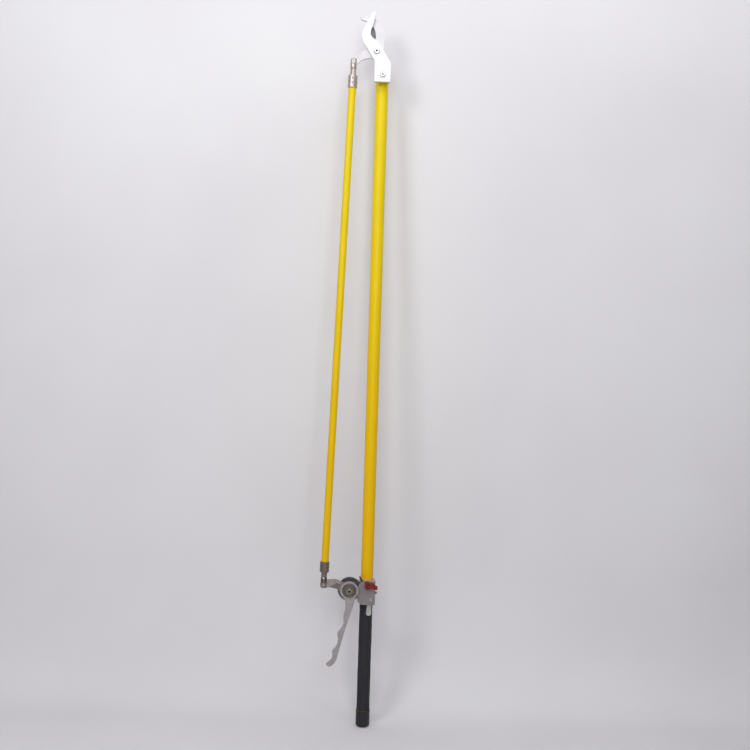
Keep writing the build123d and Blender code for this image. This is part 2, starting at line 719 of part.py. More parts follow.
with BuildPart() as squeeze_lever:
    with BuildSketch(ahead(plate_back, hub)):
        Circle(lever_ring_dia / 2)
        make_face(lever_outline())
    extrude(amount=lever_thick)
    # thicker handle below the neck
    with BuildSketch(ahead(plate_back - handle_back, hub)):
        make_face(lever_outline())
        Polygon((-80.0, -38.0), (-9.5, -36.5), (12.0, -44.0), (40.0, -46.0), (40.0, -220.0), (-80.0, -220.0),
                align=None, mode=Mode.INTERSECT)
    extrude(amount=lever_thick + 2 * handle_back)
    with BuildSketch(ahead(disc_back - side_gap, hub)):
        Circle(ring_bore)
    extrude(amount=lever_thick, mode=Mode.SUBTRACT)
    with Locations(ahead(plate_back, hub)):
        Hole(sleeve_dia / 2 + run_gap)
    # bore for the plunger and its spring, straight down from the ring
    bore_plane = Plane(origin=(hub[0], -plunger_ahead, hub[1]), z_dir=(0, 0, -1))
    with BuildSketch(bore_plane.offset(ring_bore - nose_wall)):
        Circle(nose_dia / 2 + run_gap)
    extrude(amount=2 * nose_wall, mode=Mode.SUBTRACT)
    with BuildSketch(bore_plane.offset(ring_bore + nose_wall)):
        Circle(plunger_dia / 2 + run_gap)
    extrude(amount=bore_foot - ring_bore - nose_wall, mode=Mode.SUBTRACT)
squeeze_lever.part.label = "squeeze_lever"
export_step(squeeze_lever.part, "parts/squeeze_lever.step")

# Spring plunger that drives the disc, at rest just clear of its rim
tip_clear = 0.3
nose_tip = disc_dia / 2 + tip_clear
shoulder = ring_bore + nose_wall + plunger_travel + tip_clear
with BuildPart() as drive_plunger:
    with BuildSketch(bore_plane.offset(nose_tip)):
        Circle(nose_dia / 2)
    extrude(amount=shoulder - nose_tip)
    with BuildSketch(bore_plane.offset(shoulder)):
        Circle(plunger_dia / 2)
    extrude(amount=plunger_foot - shoulder)
drive_plunger.part.label = "drive_plunger"
export_step(drive_plunger.part, "parts/drive_plunger.step")

coil_plane = bore_plane.offset(plunger_foot + spring_wire / 2 + seat_gap)
coil_radius = plunger_dia / 2 - spring_wire / 2 - tip_clear
plunger_spring = coil_spring(coil_plane.origin, coil_plane.z_dir, coil_radius, plunger_coil_pitch,
                             plunger_coil_height)
plunger_spring.part.label = "plunger_spring"
export_step(plunger_spring.part, "parts/plunger_spring.step")

# Bracket casting: collar half, pawl housing and the arm that carries the hub
axis_at = (0.0, hub_height)
arm_thick = 9.0
spindle_boss = 13.0
pawl_eye = 4.5
pawl_tail = 10.8
cam_drop = 12.0
cam_gap = 0.3
pocket_drop = 15.5
housing_top = 22.1
foot_corner = (-14.0, -bracket_drop)
side_low = (-24.4, -15.0)
side_high = (-24.0, 0.0)
shoulder_top = (-9.0, housing_top)
web_top = 24.0
web_foot = -26.0
web_right = 28.0
tooth_clear = 0.6
pocket_roof = 17.5
pocket_right = 12.0
tab_eye = 5.0
tab_swing_room = 1.2
tab_swing_left = 14.4
tab_screw_reach = 5.0
pawl_pin_reach = 1.4
pawl_pin_front = 3.2
pin_end_gap = 0.2


def housing_outline():
    # D-shaped face of the housing, drawn about the pole's axis at the hub's height
    with BuildLine() as outline:
        Polyline(shoulder_top, (bracket_right, housing_top), (bracket_right, -bracket_drop), foot_corner)
        ThreePointArc(foot_corner, (-21.2, -29.0), side_low)
        Line(side_low, side_high)
        ThreePointArc(side_high, (-18.9, 14.0), shoulder_top)
    return outline.edges()


with BuildPart() as bracket:
    with BuildSketch(ahead(seat_gap, axis_at)):
        make_face(housing_outline())
    extrude(amount=cover_back - seat_gap)
    with BuildSketch(Plane.XY.offset(bracket_foot)):
        Circle(collar_dia / 2)
        with Locations((0, -seat_gap)):
            Rectangle(3 * clamp_reach, collar_dia, align=(Align.CENTER, Align.MIN), mode=Mode.SUBTRACT)
    extrude(amount=collar_rise + bracket_drop)
    with BuildSketch(Plane.XY.offset(bracket_foot)):
        with Locations((0, -seat_gap)):
            Rectangle(2 * clamp_reach, clamp_thick / 2, align=(Align.CENTER, Align.MAX))
    extrude(amount=ear_height)
    # arm out to the hub, behind the ratchet wheel
    with BuildSketch(ahead(mech_floor - arm_thick, hub)):
        Circle(spindle_boss)
        Polygon((0, spindle_boss), (web_right, web_top), (web_right, web_foot), (0, -spindle_boss),
                align=None)
    extrude(amount=arm_thick)
    # housing of the pawl, open to the wheel and at the upper left
    with BuildSketch(ahead(mech_floor, axis_at)):
        Polygon((-30.0, 6.0), (-30.0, 40.0), (-11.0, 40.0), (-6.0, pocket_roof), (pocket_right, pocket_roof),
                (pocket_right, -pocket_drop), (-30.0, -pocket_drop), align=None)
        with Locations((hub_x, 0)):
            Circle(tip + tooth_clear)
        # pocket of the thumb tab, open at the foot
        with Locations((tab_x, -tab_drop)):
            Circle(tab_eye + tab_swing_room)
        Polygon((tab_x - tab_eye - tab_swing_room, -tab_drop), (tab_x + tab_eye + side_gap, -tab_drop),
                (tab_x + tab_eye + side_gap, -bracket_drop), (tab_x - tab_swing_left, -bracket_drop),
                align=None)
    extrude(amount=cover_front - mech_floor, mode=Mode.SUBTRACT)
    with BuildSketch(Plane.XY):
        Circle(pole_dia / 2 + fit_gap)
    extrude(amount=2 * hub_height, mode=Mode.SUBTRACT)
    with Locations(ahead(0, hub)):
        Hole(spindle_dia / 2 + fit_gap)
    for place, size, reach in ((pawl_at, pawl_pin_dia, pawl_pin_reach),
                               (tab_at, tab_pin_dia, tab_screw_reach)):
        with BuildSketch(ahead(mech_floor, place)):
            Circle(size / 2 + fit_gap)
        extrude(amount=-reach, mode=Mode.SUBTRACT)
    for place in clamp_places:
        with BuildSketch(ahead(seat_gap, place)):
            Circle(clamp_screw_dia / 2 + fit_gap)
        extrude(amount=clamp_screw_reach, mode=Mode.SUBTRACT)
    with BuildSketch(Plane(origin=(bracket_right, -lock_ahead, lock_height), z_dir=(1, 0, 0))):
        Circle(lock_screw_dia / 2 + fit_gap)
    extrude(amount=-lock_screw_reach, mode=Mode.SUBTRACT)
bracket.part.label = "bracket"
export_step(bracket.part, "parts/bracket.step")

# Back half of the collar and its four screws
with BuildPart() as bracket_clamp:
    with BuildSketch(Plane.XY.offset(bracket_foot)):
        Circle(collar_dia / 2)
        with Locations((0, seat_gap)):
            Rectangle(3 * clamp_reach, collar_dia, align=(Align.CENTER, Align.MAX), mode=Mode.SUBTRACT)
    extrude(amount=collar_rise + bracket_drop)
    with BuildSketch(Plane.XY.offset(bracket_foot)):
        with Locations((0, seat_gap)):
            Rectangle(2 * clamp_reach, clamp_thick / 2, align=(Align.CENTER, Align.MIN))
    extrude(amount=ear_height)
    with BuildSketch(Plane.XY.offset(bracket_foot)):
        Circle(pole_dia / 2 + fit_gap)
    extrude(amount=collar_rise + bracket_drop, mode=Mode.SUBTRACT)
    for place in clamp_places:
        with Locations(ahead(0, place)):
            Hole(clamp_screw_dia / 2 + fit_gap)
        with BuildSketch(ahead(-seat_gap - clamp_thick / 2, place)):
            Circle(clamp_head_dia / 2 + 2 * side_gap)
        extrude(amount=-collar_dia, mode=Mode.SUBTRACT)
bracket_clamp.part.label = "bracket_clamp"
export_step(bracket_clamp.part, "parts/bracket_clamp.step")

with BuildPart() as clamp_screws:
    for place in clamp_places:
        with BuildSketch(ahead(-seat_gap - clamp_thick / 2, place)):
            Circle(clamp_screw_dia / 2)
        extrude(amount=clamp_thick / 2 + seat_gap + clamp_screw_reach - screw_end_gap)
        with BuildSketch(ahead(-seat_gap - clamp_thick / 2, place)):
            Circle(clamp_head_dia / 2)
        extrude(amount=-clamp_head_tall)
        with BuildSketch(ahead(-seat_gap - clamp_thick / 2 - clamp_head_tall, place)):
            RegularPolygon(radius=small_key / 2, side_count=6, major_radius=False)
        extrude(amount=clamp_head_tall - key_floor, mode=Mode.SUBTRACT)
clamp_screws.part.label = "clamp_screws"
export_step(clamp_screws.part, "parts/clamp_screws.step")

# Lock screw in the bracket's right side
with BuildPart() as lock_screw:
    side_plane = Plane(origin=(bracket_right, -lock_ahead, lock_height), z_dir=(1, 0, 0))
    with BuildSketch(side_plane):
        Circle(lock_screw_dia / 2)
    extrude(amount=-lock_screw_reach + screw_end_gap)
    with BuildSketch(side_plane):
        Circle(lock_head_dia / 2)
    extrude(amount=lock_head_tall)
    chamfer(lock_screw.faces().sort_by(Axis.X)[-1].edges(), length=head_ease / 2)
    with BuildSketch(side_plane.offset(lock_head_tall)):
        RegularPolygon(radius=small_key / 2, side_count=6, major_radius=False)
    extrude(amount=key_floor - lock_head_tall, mode=Mode.SUBTRACT)
lock_screw.part.label = "lock_screw"
export_step(lock_screw.part, "parts/lock_screw.step")

# Cover plate of the housing, with a bevelled rim
with BuildPart() as bracket_cover:
    with BuildSketch(ahead(cover_back, axis_at)):
        make_face(housing_outline())
    extrude(amount=cover_thick - cover_rim)
    extrude(bracket_cover.faces().sort_by(Axis.Y)[0], amount=cover_rim, taper=45)
    with Locations(ahead(cover_back, release_at)):
        Hole(release_shaft_dia / 2 + run_gap)
    with Locations(ahead(cover_back, tab_at)):
        Hole(tab_pin_dia / 2 + fit_gap)
    with BuildSketch(ahead(cover_back, pawl_at)):
        Circle(pawl_pin_dia / 2 + fit_gap)
    extrude(amount=pawl_pin_front, mode=Mode.SUBTRACT)
bracket_cover.part.label = "bracket_cover"
export_step(bracket_cover.part, "parts/bracket_cover.step")

# Hub spindle, headed at the back, with a washer and a bolt that keep the disc on
hub_bolt_dia = 6.0
hub_bolt_reach = 14.0
hub_washer_dia = 17.0
hub_head_dia = 13.6
hub_head_tall = 6.4
hub_key = 6.0
spindle_head_flats = 18.0
spindle_head_tall = 5.0
with BuildPart() as hub_spindle:
    spindle_front = disc_front + side_gap
    with BuildSketch(ahead(mech_floor - arm_thick, hub)):
        Circle(spindle_dia / 2)
    extrude(amount=spindle_front - mech_floor + arm_thick)
    with BuildSketch(ahead(mech_floor - arm_thick, hub)):
        RegularPolygon(radius=spindle_head_flats / 2, side_count=6, major_radius=False)
    extrude(amount=-spindle_head_tall)
    with BuildSketch(ahead(spindle_front, hub)):
        Circle(hub_bolt_dia / 2 + fit_gap)
    extrude(amount=-hub_bolt_reach - screw_end_gap, mode=Mode.SUBTRACT)
hub_spindle.part.label = "hub_spindle"
export_step(hub_spindle.part, "parts/hub_spindle.step")

with BuildPart() as hub_washer:
    with BuildSketch(ahead(spindle_front, hub)):
        Circle(hub_washer_dia / 2)
        Circle(hub_bolt_dia / 2 + fit_gap, mode=Mode.SUBTRACT)
    extrude(amount=washer_thick)
hub_washer.part.label = "hub_washer"
export_step(hub_washer.part, "parts/hub_washer.step")

hub_bolt = cap_bolt(hub, spindle_front - hub_bolt_reach, spindle_front + washer_thick, hub_bolt_dia,
                    hub_head_dia, hub_head_tall, hub_key)
hub_bolt.part.label = "hub_bolt"
export_step(hub_bolt.part, "parts/hub_bolt.step")

# Holding pawl, drawn as it sits in the wheel's teeth and turned off them by its lift
nose_x, nose_z = polar(tip - tooth_depth + 0.4, pawl_nose_angle)
nose = (nose_x + hub_x - pawl_x, nose_z + pawl_drop)
along = polar(6.0, pawl_nose_angle)
under = polar(7.0, pawl_nose_angle - 50)
with BuildPart() as holding_pawl:
    with BuildSketch(ahead(wheel_back, pawl_at, pawl_lift)):
        Circle(pawl_eye)
        Polygon(nose, (nose[0] + along[0], nose[1] + along[1]), (1.4, 3.4), (0, -pawl_eye), (-4.3, 0.6),
                (nose[0] + under[0], nose[1] + under[1]), align=None)
        # finger that reaches out of the housing at its upper left
        Polygon((-10.2, 18.2), (-19.6, 35.6), (-20.6, 38.4), (-19.2, 39.4), (-17.2, 37.6), (-4.8, 20.0),
                (-1.0, 6.0), (-5.0, 8.0), align=None)
    extrude(amount=wheel_thick)
    # tail under the release cam
    with BuildSketch(ahead(wheel_back, pawl_at)):
        with Locations((0, release_rise + pawl_drop - cam_drop - cam_gap)):
            Rectangle(pawl_tail, pawl_tail / 2, align=(Align.MIN, Align.MAX))
    extrude(amount=wheel_thick)
    with Locations(ahead(wheel_back, pawl_at)):
        Hole(pawl_pin_dia / 2 + run_gap)
holding_pawl.part.label = "holding_pawl"
export_step(holding_pawl.part, "parts/holding_pawl.step")

with BuildPart() as pawl_pin:
    with BuildSketch(ahead(mech_floor - pawl_pin_reach + pin_end_gap, pawl_at)):
        Circle(pawl_pin_dia / 2)
    extrude(amount=cover_back - mech_floor + pawl_pin_reach + pawl_pin_front - 2 * pin_end_gap)
pawl_pin.part.label = "pawl_pin"
export_step(pawl_pin.part, "parts/pawl_pin.step")


spring_at = (pawl_x + pawl_tail - pawl_coil_radius, -wheel_back - wheel_thick / 2,
             hub_height - pocket_drop + spring_wire)
pawl_spring = coil_spring(spring_at, (0, 0, 1), pawl_coil_radius, pawl_coil_pitch, pawl_coil_height)
pawl_spring.part.label = "pawl_spring"
export_step(pawl_spring.part, "parts/pawl_spring.step")

# Release lever with its cam behind the cover
lever_ease = 1.0
grip_end = (20.5, 3.2)
grip_start = (-6.8, 9.6)
with BuildPart() as release_lever:
    with BuildSketch(ahead(cover_front + 2 * side_gap, release_at)):
        with BuildLine():
            Spline(grip_start, (-2.6, 14.6), (3.0, 12.0), (10.5, 9.9), (17.0, 6.5), grip_end)
            Polyline(grip_end, (25.4, 2.2), (25.4, -6.2), (19.2, -7.0), (14.0, -4.4), (6.4, -4.4),
                     (2.0, -6.8), (-3.4, -6.8), (-6.8, -3.0), grip_start)
        make_face()
    extrude(amount=release_thick)
    chamfer(release_lever.faces().sort_by(Axis.Y)[0].edges(), length=lever_ease)
    with Locations(ahead(cover_front, release_at)):
        Hole(release_shaft_dia / 2 + fit_gap)
release_lever.part.label = "release_lever"
export_step(release_lever.part, "parts/release_lever.step")

cam_hub_dia = 10.0
cam_tip_dia = 3.0
screw_sink = 1.6
screw_slot = 1.0
with BuildPart() as release_cam:
    with BuildSketch(ahead(wheel_back + side_gap, release_at)):
        Circle(cam_hub_dia / 2)
        cam_tip = -cam_drop + cam_tip_dia / 2
        Polygon((-4.6, -2.0), (-1.4, cam_tip), (1.4, cam_tip), (4.6, -2.0), align=None)
        with Locations((0, cam_tip)):
            Circle(cam_tip_dia / 2)
    extrude(amount=wheel_thick - 2 * side_gap)
    with BuildSketch(ahead(wheel_back + wheel_thick - side_gap, release_at)):
        Circle(release_shaft_dia / 2)
    extrude(amount=cover_front + release_thick - screw_sink - wheel_back - wheel_thick + side_gap)
release_cam.part.label = "release_cam"
export_step(release_cam.part, "parts/release_cam.step")

with BuildPart() as release_screw:
    with BuildSketch(ahead(cover_front + release_thick - screw_sink, release_at)):
        Circle(release_shaft_dia / 2)
    extrude(amount=2 * screw_sink)
    chamfer(release_screw.faces().sort_by(Axis.Y)[0].edges(), length=head_ease / 2)
    with BuildSketch(ahead(cover_front + release_thick + screw_sink, release_at)):
        Rectangle(screw_slot, release_shaft_dia)
    extrude(amount=-screw_slot, mode=Mode.SUBTRACT)
release_screw.part.label = "release_screw"
export_step(release_screw.part, "parts/release_screw.step")

# Thumb tab that hangs over the grip
tab_back = mech_floor + 3 * side_gap
tab_end = (-4.6, -36.4)
tab_end_dia = 13.6
tab_ease = 0.6
with BuildPart() as thumb_tab:
    with BuildSketch(ahead(tab_back, tab_at)):
        Circle(tab_eye)
        Polygon((-4.9, 0), (4.4, -2.0), (1.9, -16.0), (2.2, -35.0), tab_end, (-11.3, -35.0), (-9.0, -16.0),
                align=None)
        with Locations(tab_end):
            Circle(tab_end_dia / 2)
    extrude(amount=tab_thick)
    chamfer(thumb_tab.faces().sort_by(Axis.Y)[0].edges(), length=tab_ease)
    with Locations(ahead(tab_back, tab_at)):
        Hole(tab_pin_dia / 2 + run_gap)
thumb_tab.part.label = "thumb_tab"
export_step(thumb_tab.part, "parts/thumb_tab.step")

with BuildPart() as tab_screw:
    with BuildSketch(ahead(mech_floor - tab_screw_reach + pin_end_gap, tab_at)):
        Circle(tab_pin_dia / 2)
    extrude(amount=cover_front - mech_floor + tab_screw_reach - pin_end_gap)
    with BuildSketch(ahead(cover_front, tab_at)):
        Circle(tab_head_dia / 2)
    extrude(amount=tab_head_tall)
    chamfer(tab_screw.faces().sort_by(Axis.Y)[0].edges(), length=head_ease)
tab_screw.part.label = "tab_screw"
export_step(tab_screw.part, "parts/tab_screw.step")

tab_spring_foot = (tab_at[0], -(tab_back + tab_thick + spring_wire), tab_at[1])
tab_spring = coil_spring(tab_spring_foot, (0, -1, 0), tab_coil_radius, tab_coil_pitch, tab_coil_height)
tab_spring.part.label = "tab_spring"
export_step(tab_spring.part, "parts/tab_spring.step")
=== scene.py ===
import json
import math
import bmesh
import bpy
from mathutils import Matrix, Vector

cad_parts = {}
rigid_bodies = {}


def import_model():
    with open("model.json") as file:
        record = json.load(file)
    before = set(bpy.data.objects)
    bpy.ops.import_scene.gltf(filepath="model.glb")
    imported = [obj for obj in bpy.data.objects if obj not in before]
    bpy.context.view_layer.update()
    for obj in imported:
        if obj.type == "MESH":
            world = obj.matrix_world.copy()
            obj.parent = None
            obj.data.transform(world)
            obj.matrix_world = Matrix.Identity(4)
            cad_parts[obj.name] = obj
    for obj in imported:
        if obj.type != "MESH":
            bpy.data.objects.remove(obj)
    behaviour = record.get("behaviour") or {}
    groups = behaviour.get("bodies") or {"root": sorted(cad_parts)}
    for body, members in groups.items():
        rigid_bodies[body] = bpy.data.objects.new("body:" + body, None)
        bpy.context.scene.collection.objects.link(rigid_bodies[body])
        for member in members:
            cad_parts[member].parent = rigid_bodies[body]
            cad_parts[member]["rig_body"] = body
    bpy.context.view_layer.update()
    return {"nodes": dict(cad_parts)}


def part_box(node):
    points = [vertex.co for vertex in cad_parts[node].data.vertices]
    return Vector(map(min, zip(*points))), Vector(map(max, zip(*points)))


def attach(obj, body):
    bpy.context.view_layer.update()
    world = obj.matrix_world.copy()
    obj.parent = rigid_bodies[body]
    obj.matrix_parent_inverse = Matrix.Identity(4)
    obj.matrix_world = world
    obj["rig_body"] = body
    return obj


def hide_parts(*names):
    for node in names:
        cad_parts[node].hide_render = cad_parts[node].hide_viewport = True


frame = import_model()
nodes = frame["nodes"]
print("frame loaded:", len(nodes), "nodes")


def linear(code):
    # "#rrggbb" as the eye sees it, to the renderer's own scale
    out = []
    for i in (1, 3, 5):
        v = int(code[i:i + 2], 16) / 255
        out.append(v / 12.92 if v <= 0.04045 else ((v + 0.055) / 1.055) ** 2.4)
    return (*out, 1.0)


# shader groups that several finishes share

def newGroup(name, inputs, outputs):
    tree = bpy.data.node_groups.new(name, "ShaderNodeTree")
    for label, kind, value in inputs:
        socket = tree.interface.new_socket(name=label, in_out="INPUT", socket_type=kind)
        if value is not None:
            socket.default_value = value
    for label, kind in outputs:
        tree.interface.new_socket(name=label, in_out="OUTPUT", socket_type=kind)
    return tree, tree.nodes.new("NodeGroupInput"), tree.nodes.new("NodeGroupOutput")


def feed(tree, value, socket):
    # a number or a colour is set on the socket, and another node's output is linked to it
    if isinstance(value, (int, float, tuple)):
        socket.default_value = value
    else:
        tree.links.new(value, socket)


def mathNode(tree, operation, first, second, clamp=False):
    node = tree.nodes.new("ShaderNodeMath")
    node.operation = operation
    node.use_clamp = clamp
    feed(tree, first, node.inputs[0])
    feed(tree, second, node.inputs[1])
    return node.outputs[0]


def noiseNode(tree, vector, scale, detail=4.0, rough=0.5, distort=0.0):
    node = tree.nodes.new("ShaderNodeTexNoise")
    node.inputs["Detail"].default_value = detail
    node.inputs["Roughness"].default_value = rough
    node.inputs["Distortion"].default_value = distort
    tree.links.new(vector, node.inputs["Vector"])
    feed(tree, scale, node.inputs["Scale"])
    return node.outputs["Fac"]


def rangeNode(tree, value, low, high, toLow=0.0, toHigh=1.0):
    node = tree.nodes.new("ShaderNodeMapRange")
    tree.links.new(value, node.inputs["Value"])
    ends = {"From Min": low, "From Max": high, "To Min": toLow, "To Max": toHigh}
    for label, amount in ends.items():
        feed(tree, amount, node.inputs[label])
    return node.outputs["Result"]


def mixNode(tree, factor, first, second):
    node = tree.nodes.new("ShaderNodeMix")
    node.data_type = "RGBA"
    # the node's sockets 6 and 7 are its two colours, and output 2 is the mixed one
    for number, value in ((0, factor), (6, first), (7, second)):
        feed(tree, value, node.inputs[number])
    return node.outputs[2]


def buildEdgeWearAndShading():
    # rubbed edges, which the lever's and the cover's finishes also use as a painted highlight on
    # their rims and the moving jaw's as painted shade on its edges: where a rounded normal leaves
    # the true one, broken up by noise
    inputs = [("Width", "NodeSocketFloat", 0.0006), ("Amount", "NodeSocketFloat", 0.5),
              ("Vector", "NodeSocketVector", None)]
    tree, gin, gout = newGroup("edgeWearAndShading", inputs, [("Mask", "NodeSocketFloat")])
    bevel = tree.nodes.new("ShaderNodeBevel")
    bevel.samples = 4
    tree.links.new(gin.outputs["Width"], bevel.inputs["Radius"])
    geometry = tree.nodes.new("ShaderNodeNewGeometry")
    dot = tree.nodes.new("ShaderNodeVectorMath")
    dot.operation = "DOT_PRODUCT"
    tree.links.new(bevel.outputs[0], dot.inputs[0])
    tree.links.new(geometry.outputs["Normal"], dot.inputs[1])
    turned = mathNode(tree, "SUBTRACT", 1.0, dot.outputs["Value"])
    edge = rangeNode(tree, turned, low=0.01, high=0.16)
    noise = noiseNode(tree, gin.outputs["Vector"], scale=260.0, detail=5.0, rough=0.65)
    patchy = rangeNode(tree, noise, low=0.42, high=0.62)
    worn = mathNode(tree, "MULTIPLY", edge, patchy)
    mask = mathNode(tree, "MULTIPLY", worn, gin.outputs["Amount"], clamp=True)
    tree.links.new(mask, gout.inputs["Mask"])
    return tree


def buildGrain():
    # surface of cast, moulded or painted parts: a fine grain on slow waves
    inputs = [("Vector", "NodeSocketVector", None), ("Fine", "NodeSocketFloat", 1500.0),
              ("Slow", "NodeSocketFloat", 90.0), ("Share", "NodeSocketFloat", 0.5)]
    tree, gin, gout = newGroup("surfaceGrain", inputs,
                               [("Height", "NodeSocketFloat"), ("Tone", "NodeSocketFloat")])
    fine = noiseNode(tree, gin.outputs["Vector"], gin.outputs["Fine"], detail=3.0, rough=0.55)
    slow = noiseNode(tree, gin.outputs["Vector"], gin.outputs["Slow"])
    mix = tree.nodes.new("ShaderNodeMix")
    tree.links.new(gin.outputs["Share"], mix.inputs[0])
    tree.links.new(fine, mix.inputs[2])
    tree.links.new(slow, mix.inputs[3])
    tree.links.new(mix.outputs[0], gout.inputs["Height"])
    tree.links.new(slow, gout.inputs["Tone"])
    return tree


def buildDust():
    # handling dirt: thin film in patches, thicker on faces that look up
    inputs = [("Vector", "NodeSocketVector", None), ("Amount", "NodeSocketFloat", 0.2)]
    tree, gin, gout = newGroup("fieldDust", inputs, [("Mask", "NodeSocketFloat")])
    noise = noiseNode(tree, gin.outputs["Vector"], scale=34.0, detail=7.0, rough=0.6, distort=0.4)
    patches = rangeNode(tree, noise, low=0.44, high=0.78)
    geometry = tree.nodes.new("ShaderNodeNewGeometry")
    split = tree.nodes.new("ShaderNodeSeparateXYZ")
    tree.links.new(geometry.outputs["Normal"], split.inputs[0])
    upward = rangeNode(tree, split.outputs["Z"], low=0.2, high=1.0, toLow=0.5, toHigh=1.4)
    film = mathNode(tree, "MULTIPLY", patches, upward)
    mask = mathNode(tree, "MULTIPLY", film, gin.outputs["Amount"], clamp=True)
    tree.links.new(mask, gout.inputs["Mask"])
    return tree


def buildLines():
    # drawn or turned metal and pulled fibre: noise squeezed across its direction
    inputs = [("Vector", "NodeSocketVector", None), ("Scale", "NodeSocketFloat", 1.0)]
    tree, gin, gout = newGroup("drawnLines", inputs,
                               [("Height", "NodeSocketFloat"), ("Streak", "NodeSocketFloat")])
    fine = noiseNode(tree, gin.outputs["Vector"], gin.outputs["Scale"], detail=6.0, rough=0.7)
    broadShare = 0.22
    broadScale = mathNode(tree, "MULTIPLY", gin.outputs["Scale"], broadShare)
    broad = noiseNode(tree, gin.outputs["Vector"], broadScale, detail=3.0)
    tree.links.new(fine, gout.inputs["Height"])
    tree.links.new(rangeNode(tree, broad, low=0.32, high=0.68), gout.inputs["Streak"])
    return tree


groups = {"wear": buildEdgeWearAndShading(), "grain": buildGrain(), "dust": buildDust(),
          "lines": buildLines()}


def placeGroup(tree, name, **values):
    node = tree.nodes.new("ShaderNodeGroup")
    node.node_tree = groups[name]
    for label, value in values.items():
        feed(tree, value, node.inputs[label])
    return node


# ranges and shares that every finish uses; over these heights the colour at the foot gives way to
# the main one
surface = {"slowShare": 0.35, "toneRange": (0.35, 0.65), "grainRange": (0.3, 0.7),
           "roughSpan": 0.05, "lineHeight": 0.6, "dustRough": 0.35, "footColourRange": (0.22, 1.35)}


def buildFinish(name, look):
    # one material from its dictionary: colour, variation, lines, grain, dust and rubbed edges
    material = bpy.data.materials.new(name)
    material.use_nodes = True
    tree = material.node_tree
    shader = tree.nodes["Principled BSDF"]
    place = tree.nodes.new("ShaderNodeTexCoord").outputs["Object"]
    mapping = tree.nodes.new("ShaderNodeMapping")
    mapping.vector_type = "TEXTURE"
    mapping.inputs["Location"].default_value = look["centre"]
    mapping.inputs["Rotation"].default_value = look["turn"]
    tree.links.new(place, mapping.inputs["Vector"])
    own = mapping.outputs["Vector"]
    grain = placeGroup(tree, "grain", Vector=own, Fine=look["grain"], Slow=look["mottle"],
                       Share=surface["slowShare"])
    height = grain.outputs["Height"]
    tone = rangeNode(tree, grain.outputs["Tone"], *surface["toneRange"])
    colour = mixNode(tree, tone, linear(look["colour"]), linear(look["second"]))
    if "low" in look:
        # darker and more orange towards the foot
        rise = tree.nodes.new("ShaderNodeSeparateXYZ")
        tree.links.new(place, rise.inputs[0])
        upFromFoot = rangeNode(tree, rise.outputs["Z"], *surface["footColourRange"])
        colour = mixNode(tree, upFromFoot, linear(look["low"]), colour)
    rough = rangeNode(tree, grain.outputs["Height"], *surface["grainRange"],
                      look["rough"] - surface["roughSpan"], look["rough"] + surface["roughSpan"])
    if "lines" in look:
        # stretch along one axis, or around the Z axis for turned parts
        if look["lines"] == "around":
            split = tree.nodes.new("ShaderNodeSeparateXYZ")
            tree.links.new(own, split.inputs[0])
            radius = tree.nodes.new("ShaderNodeVectorMath")
            radius.operation = "LENGTH"
            flat = tree.nodes.new("ShaderNodeCombineXYZ")
            tree.links.new(split.outputs["X"], flat.inputs["X"])
            tree.links.new(split.outputs["Y"], flat.inputs["Y"])
            tree.links.new(flat.outputs[0], radius.inputs[0])
            turned = tree.nodes.new("ShaderNodeCombineXYZ")
            tree.links.new(radius.outputs["Value"], turned.inputs["X"])
            tree.links.new(split.outputs["Z"], turned.inputs["Y"])
            vector = turned.outputs[0]
        else:
            stretch = tree.nodes.new("ShaderNodeMapping")
            stretch.inputs["Scale"].default_value = look["lines"]
            tree.links.new(own, stretch.inputs["Vector"])
            vector = stretch.outputs["Vector"]
        lines = placeGroup(tree, "lines", Vector=vector, Scale=look["lineScale"])
        share = mathNode(tree, "MULTIPLY", lines.outputs["Streak"], look["lineShare"])
        colour = mixNode(tree, share, colour, linear(look["lineColour"]))
        grained = mathNode(tree, "MULTIPLY", height, 1 - surface["lineHeight"])
        lined = mathNode(tree, "MULTIPLY", lines.outputs["Height"], surface["lineHeight"])
        height = mathNode(tree, "ADD", grained, lined)
    if look["dust"] > 0:
        dust = placeGroup(tree, "dust", Vector=own, Amount=look["dust"])
        colour = mixNode(tree, dust.outputs["Mask"], colour, linear(look["dustColour"]))
        dulled = mathNode(tree, "MULTIPLY", dust.outputs["Mask"], surface["dustRough"])
        rough = mathNode(tree, "ADD", rough, dulled, clamp=True)
    if look["wear"] > 0:
        wear = placeGroup(tree, "wear", Vector=own, Width=look["wearWidth"], Amount=look["wear"])
        colour = mixNode(tree, wear.outputs["Mask"], colour, linear(look["bare"]))
    tree.links.new(colour, shader.inputs["Base Color"])
    tree.links.new(rough, shader.inputs["Roughness"])
    if "bareMetal" in look:
        metal = rangeNode(tree, wear.outputs["Mask"], 0.0, 1.0, look["metal"], look["bareMetal"])
        tree.links.new(metal, shader.inputs["Metallic"])
    else:
        shader.inputs["Metallic"].default_value = look["metal"]
    shader.inputs["Coat Weight"].default_value = look["coat"]
    shader.inputs["Coat Roughness"].default_value = look["coatRough"]
    shader.inputs["Specular IOR Level"].default_value = look["specular"]
    bump = tree.nodes.new("ShaderNodeBump")
    bump.inputs["Strength"].default_value = look["bump"]
    bump.inputs["Distance"].default_value = look["bumpDepth"]
    tree.links.new(height, bump.inputs["Height"])
    tree.links.new(bump.outputs["Normal"], shader.inputs["Normal"])
    return material


# from the rod's lower pin to its upper one
rodRun = {"across": 0.0359, "up": 1.3338}
rodLean = math.atan2(rodRun["across"], rodRun["up"])
hubAt = (-0.0437, 0.0, 0.3565)  # where the crank and the lever turn
facingFront = (math.radians(90), 0, 0)

# what a finish has when its own dictionary says nothing
plainLook = {
    "centre": (0, 0, 0), "turn": (0, 0, 0), "mottle": 60.0, "metal": 0.0, "coat": 0.0,
    "coatRough": 0.12, "specular": 0.5, "bumpDepth": 0.0002, "dust": 0.0, "wear": 0.0,
    "wearWidth": 0.0007}

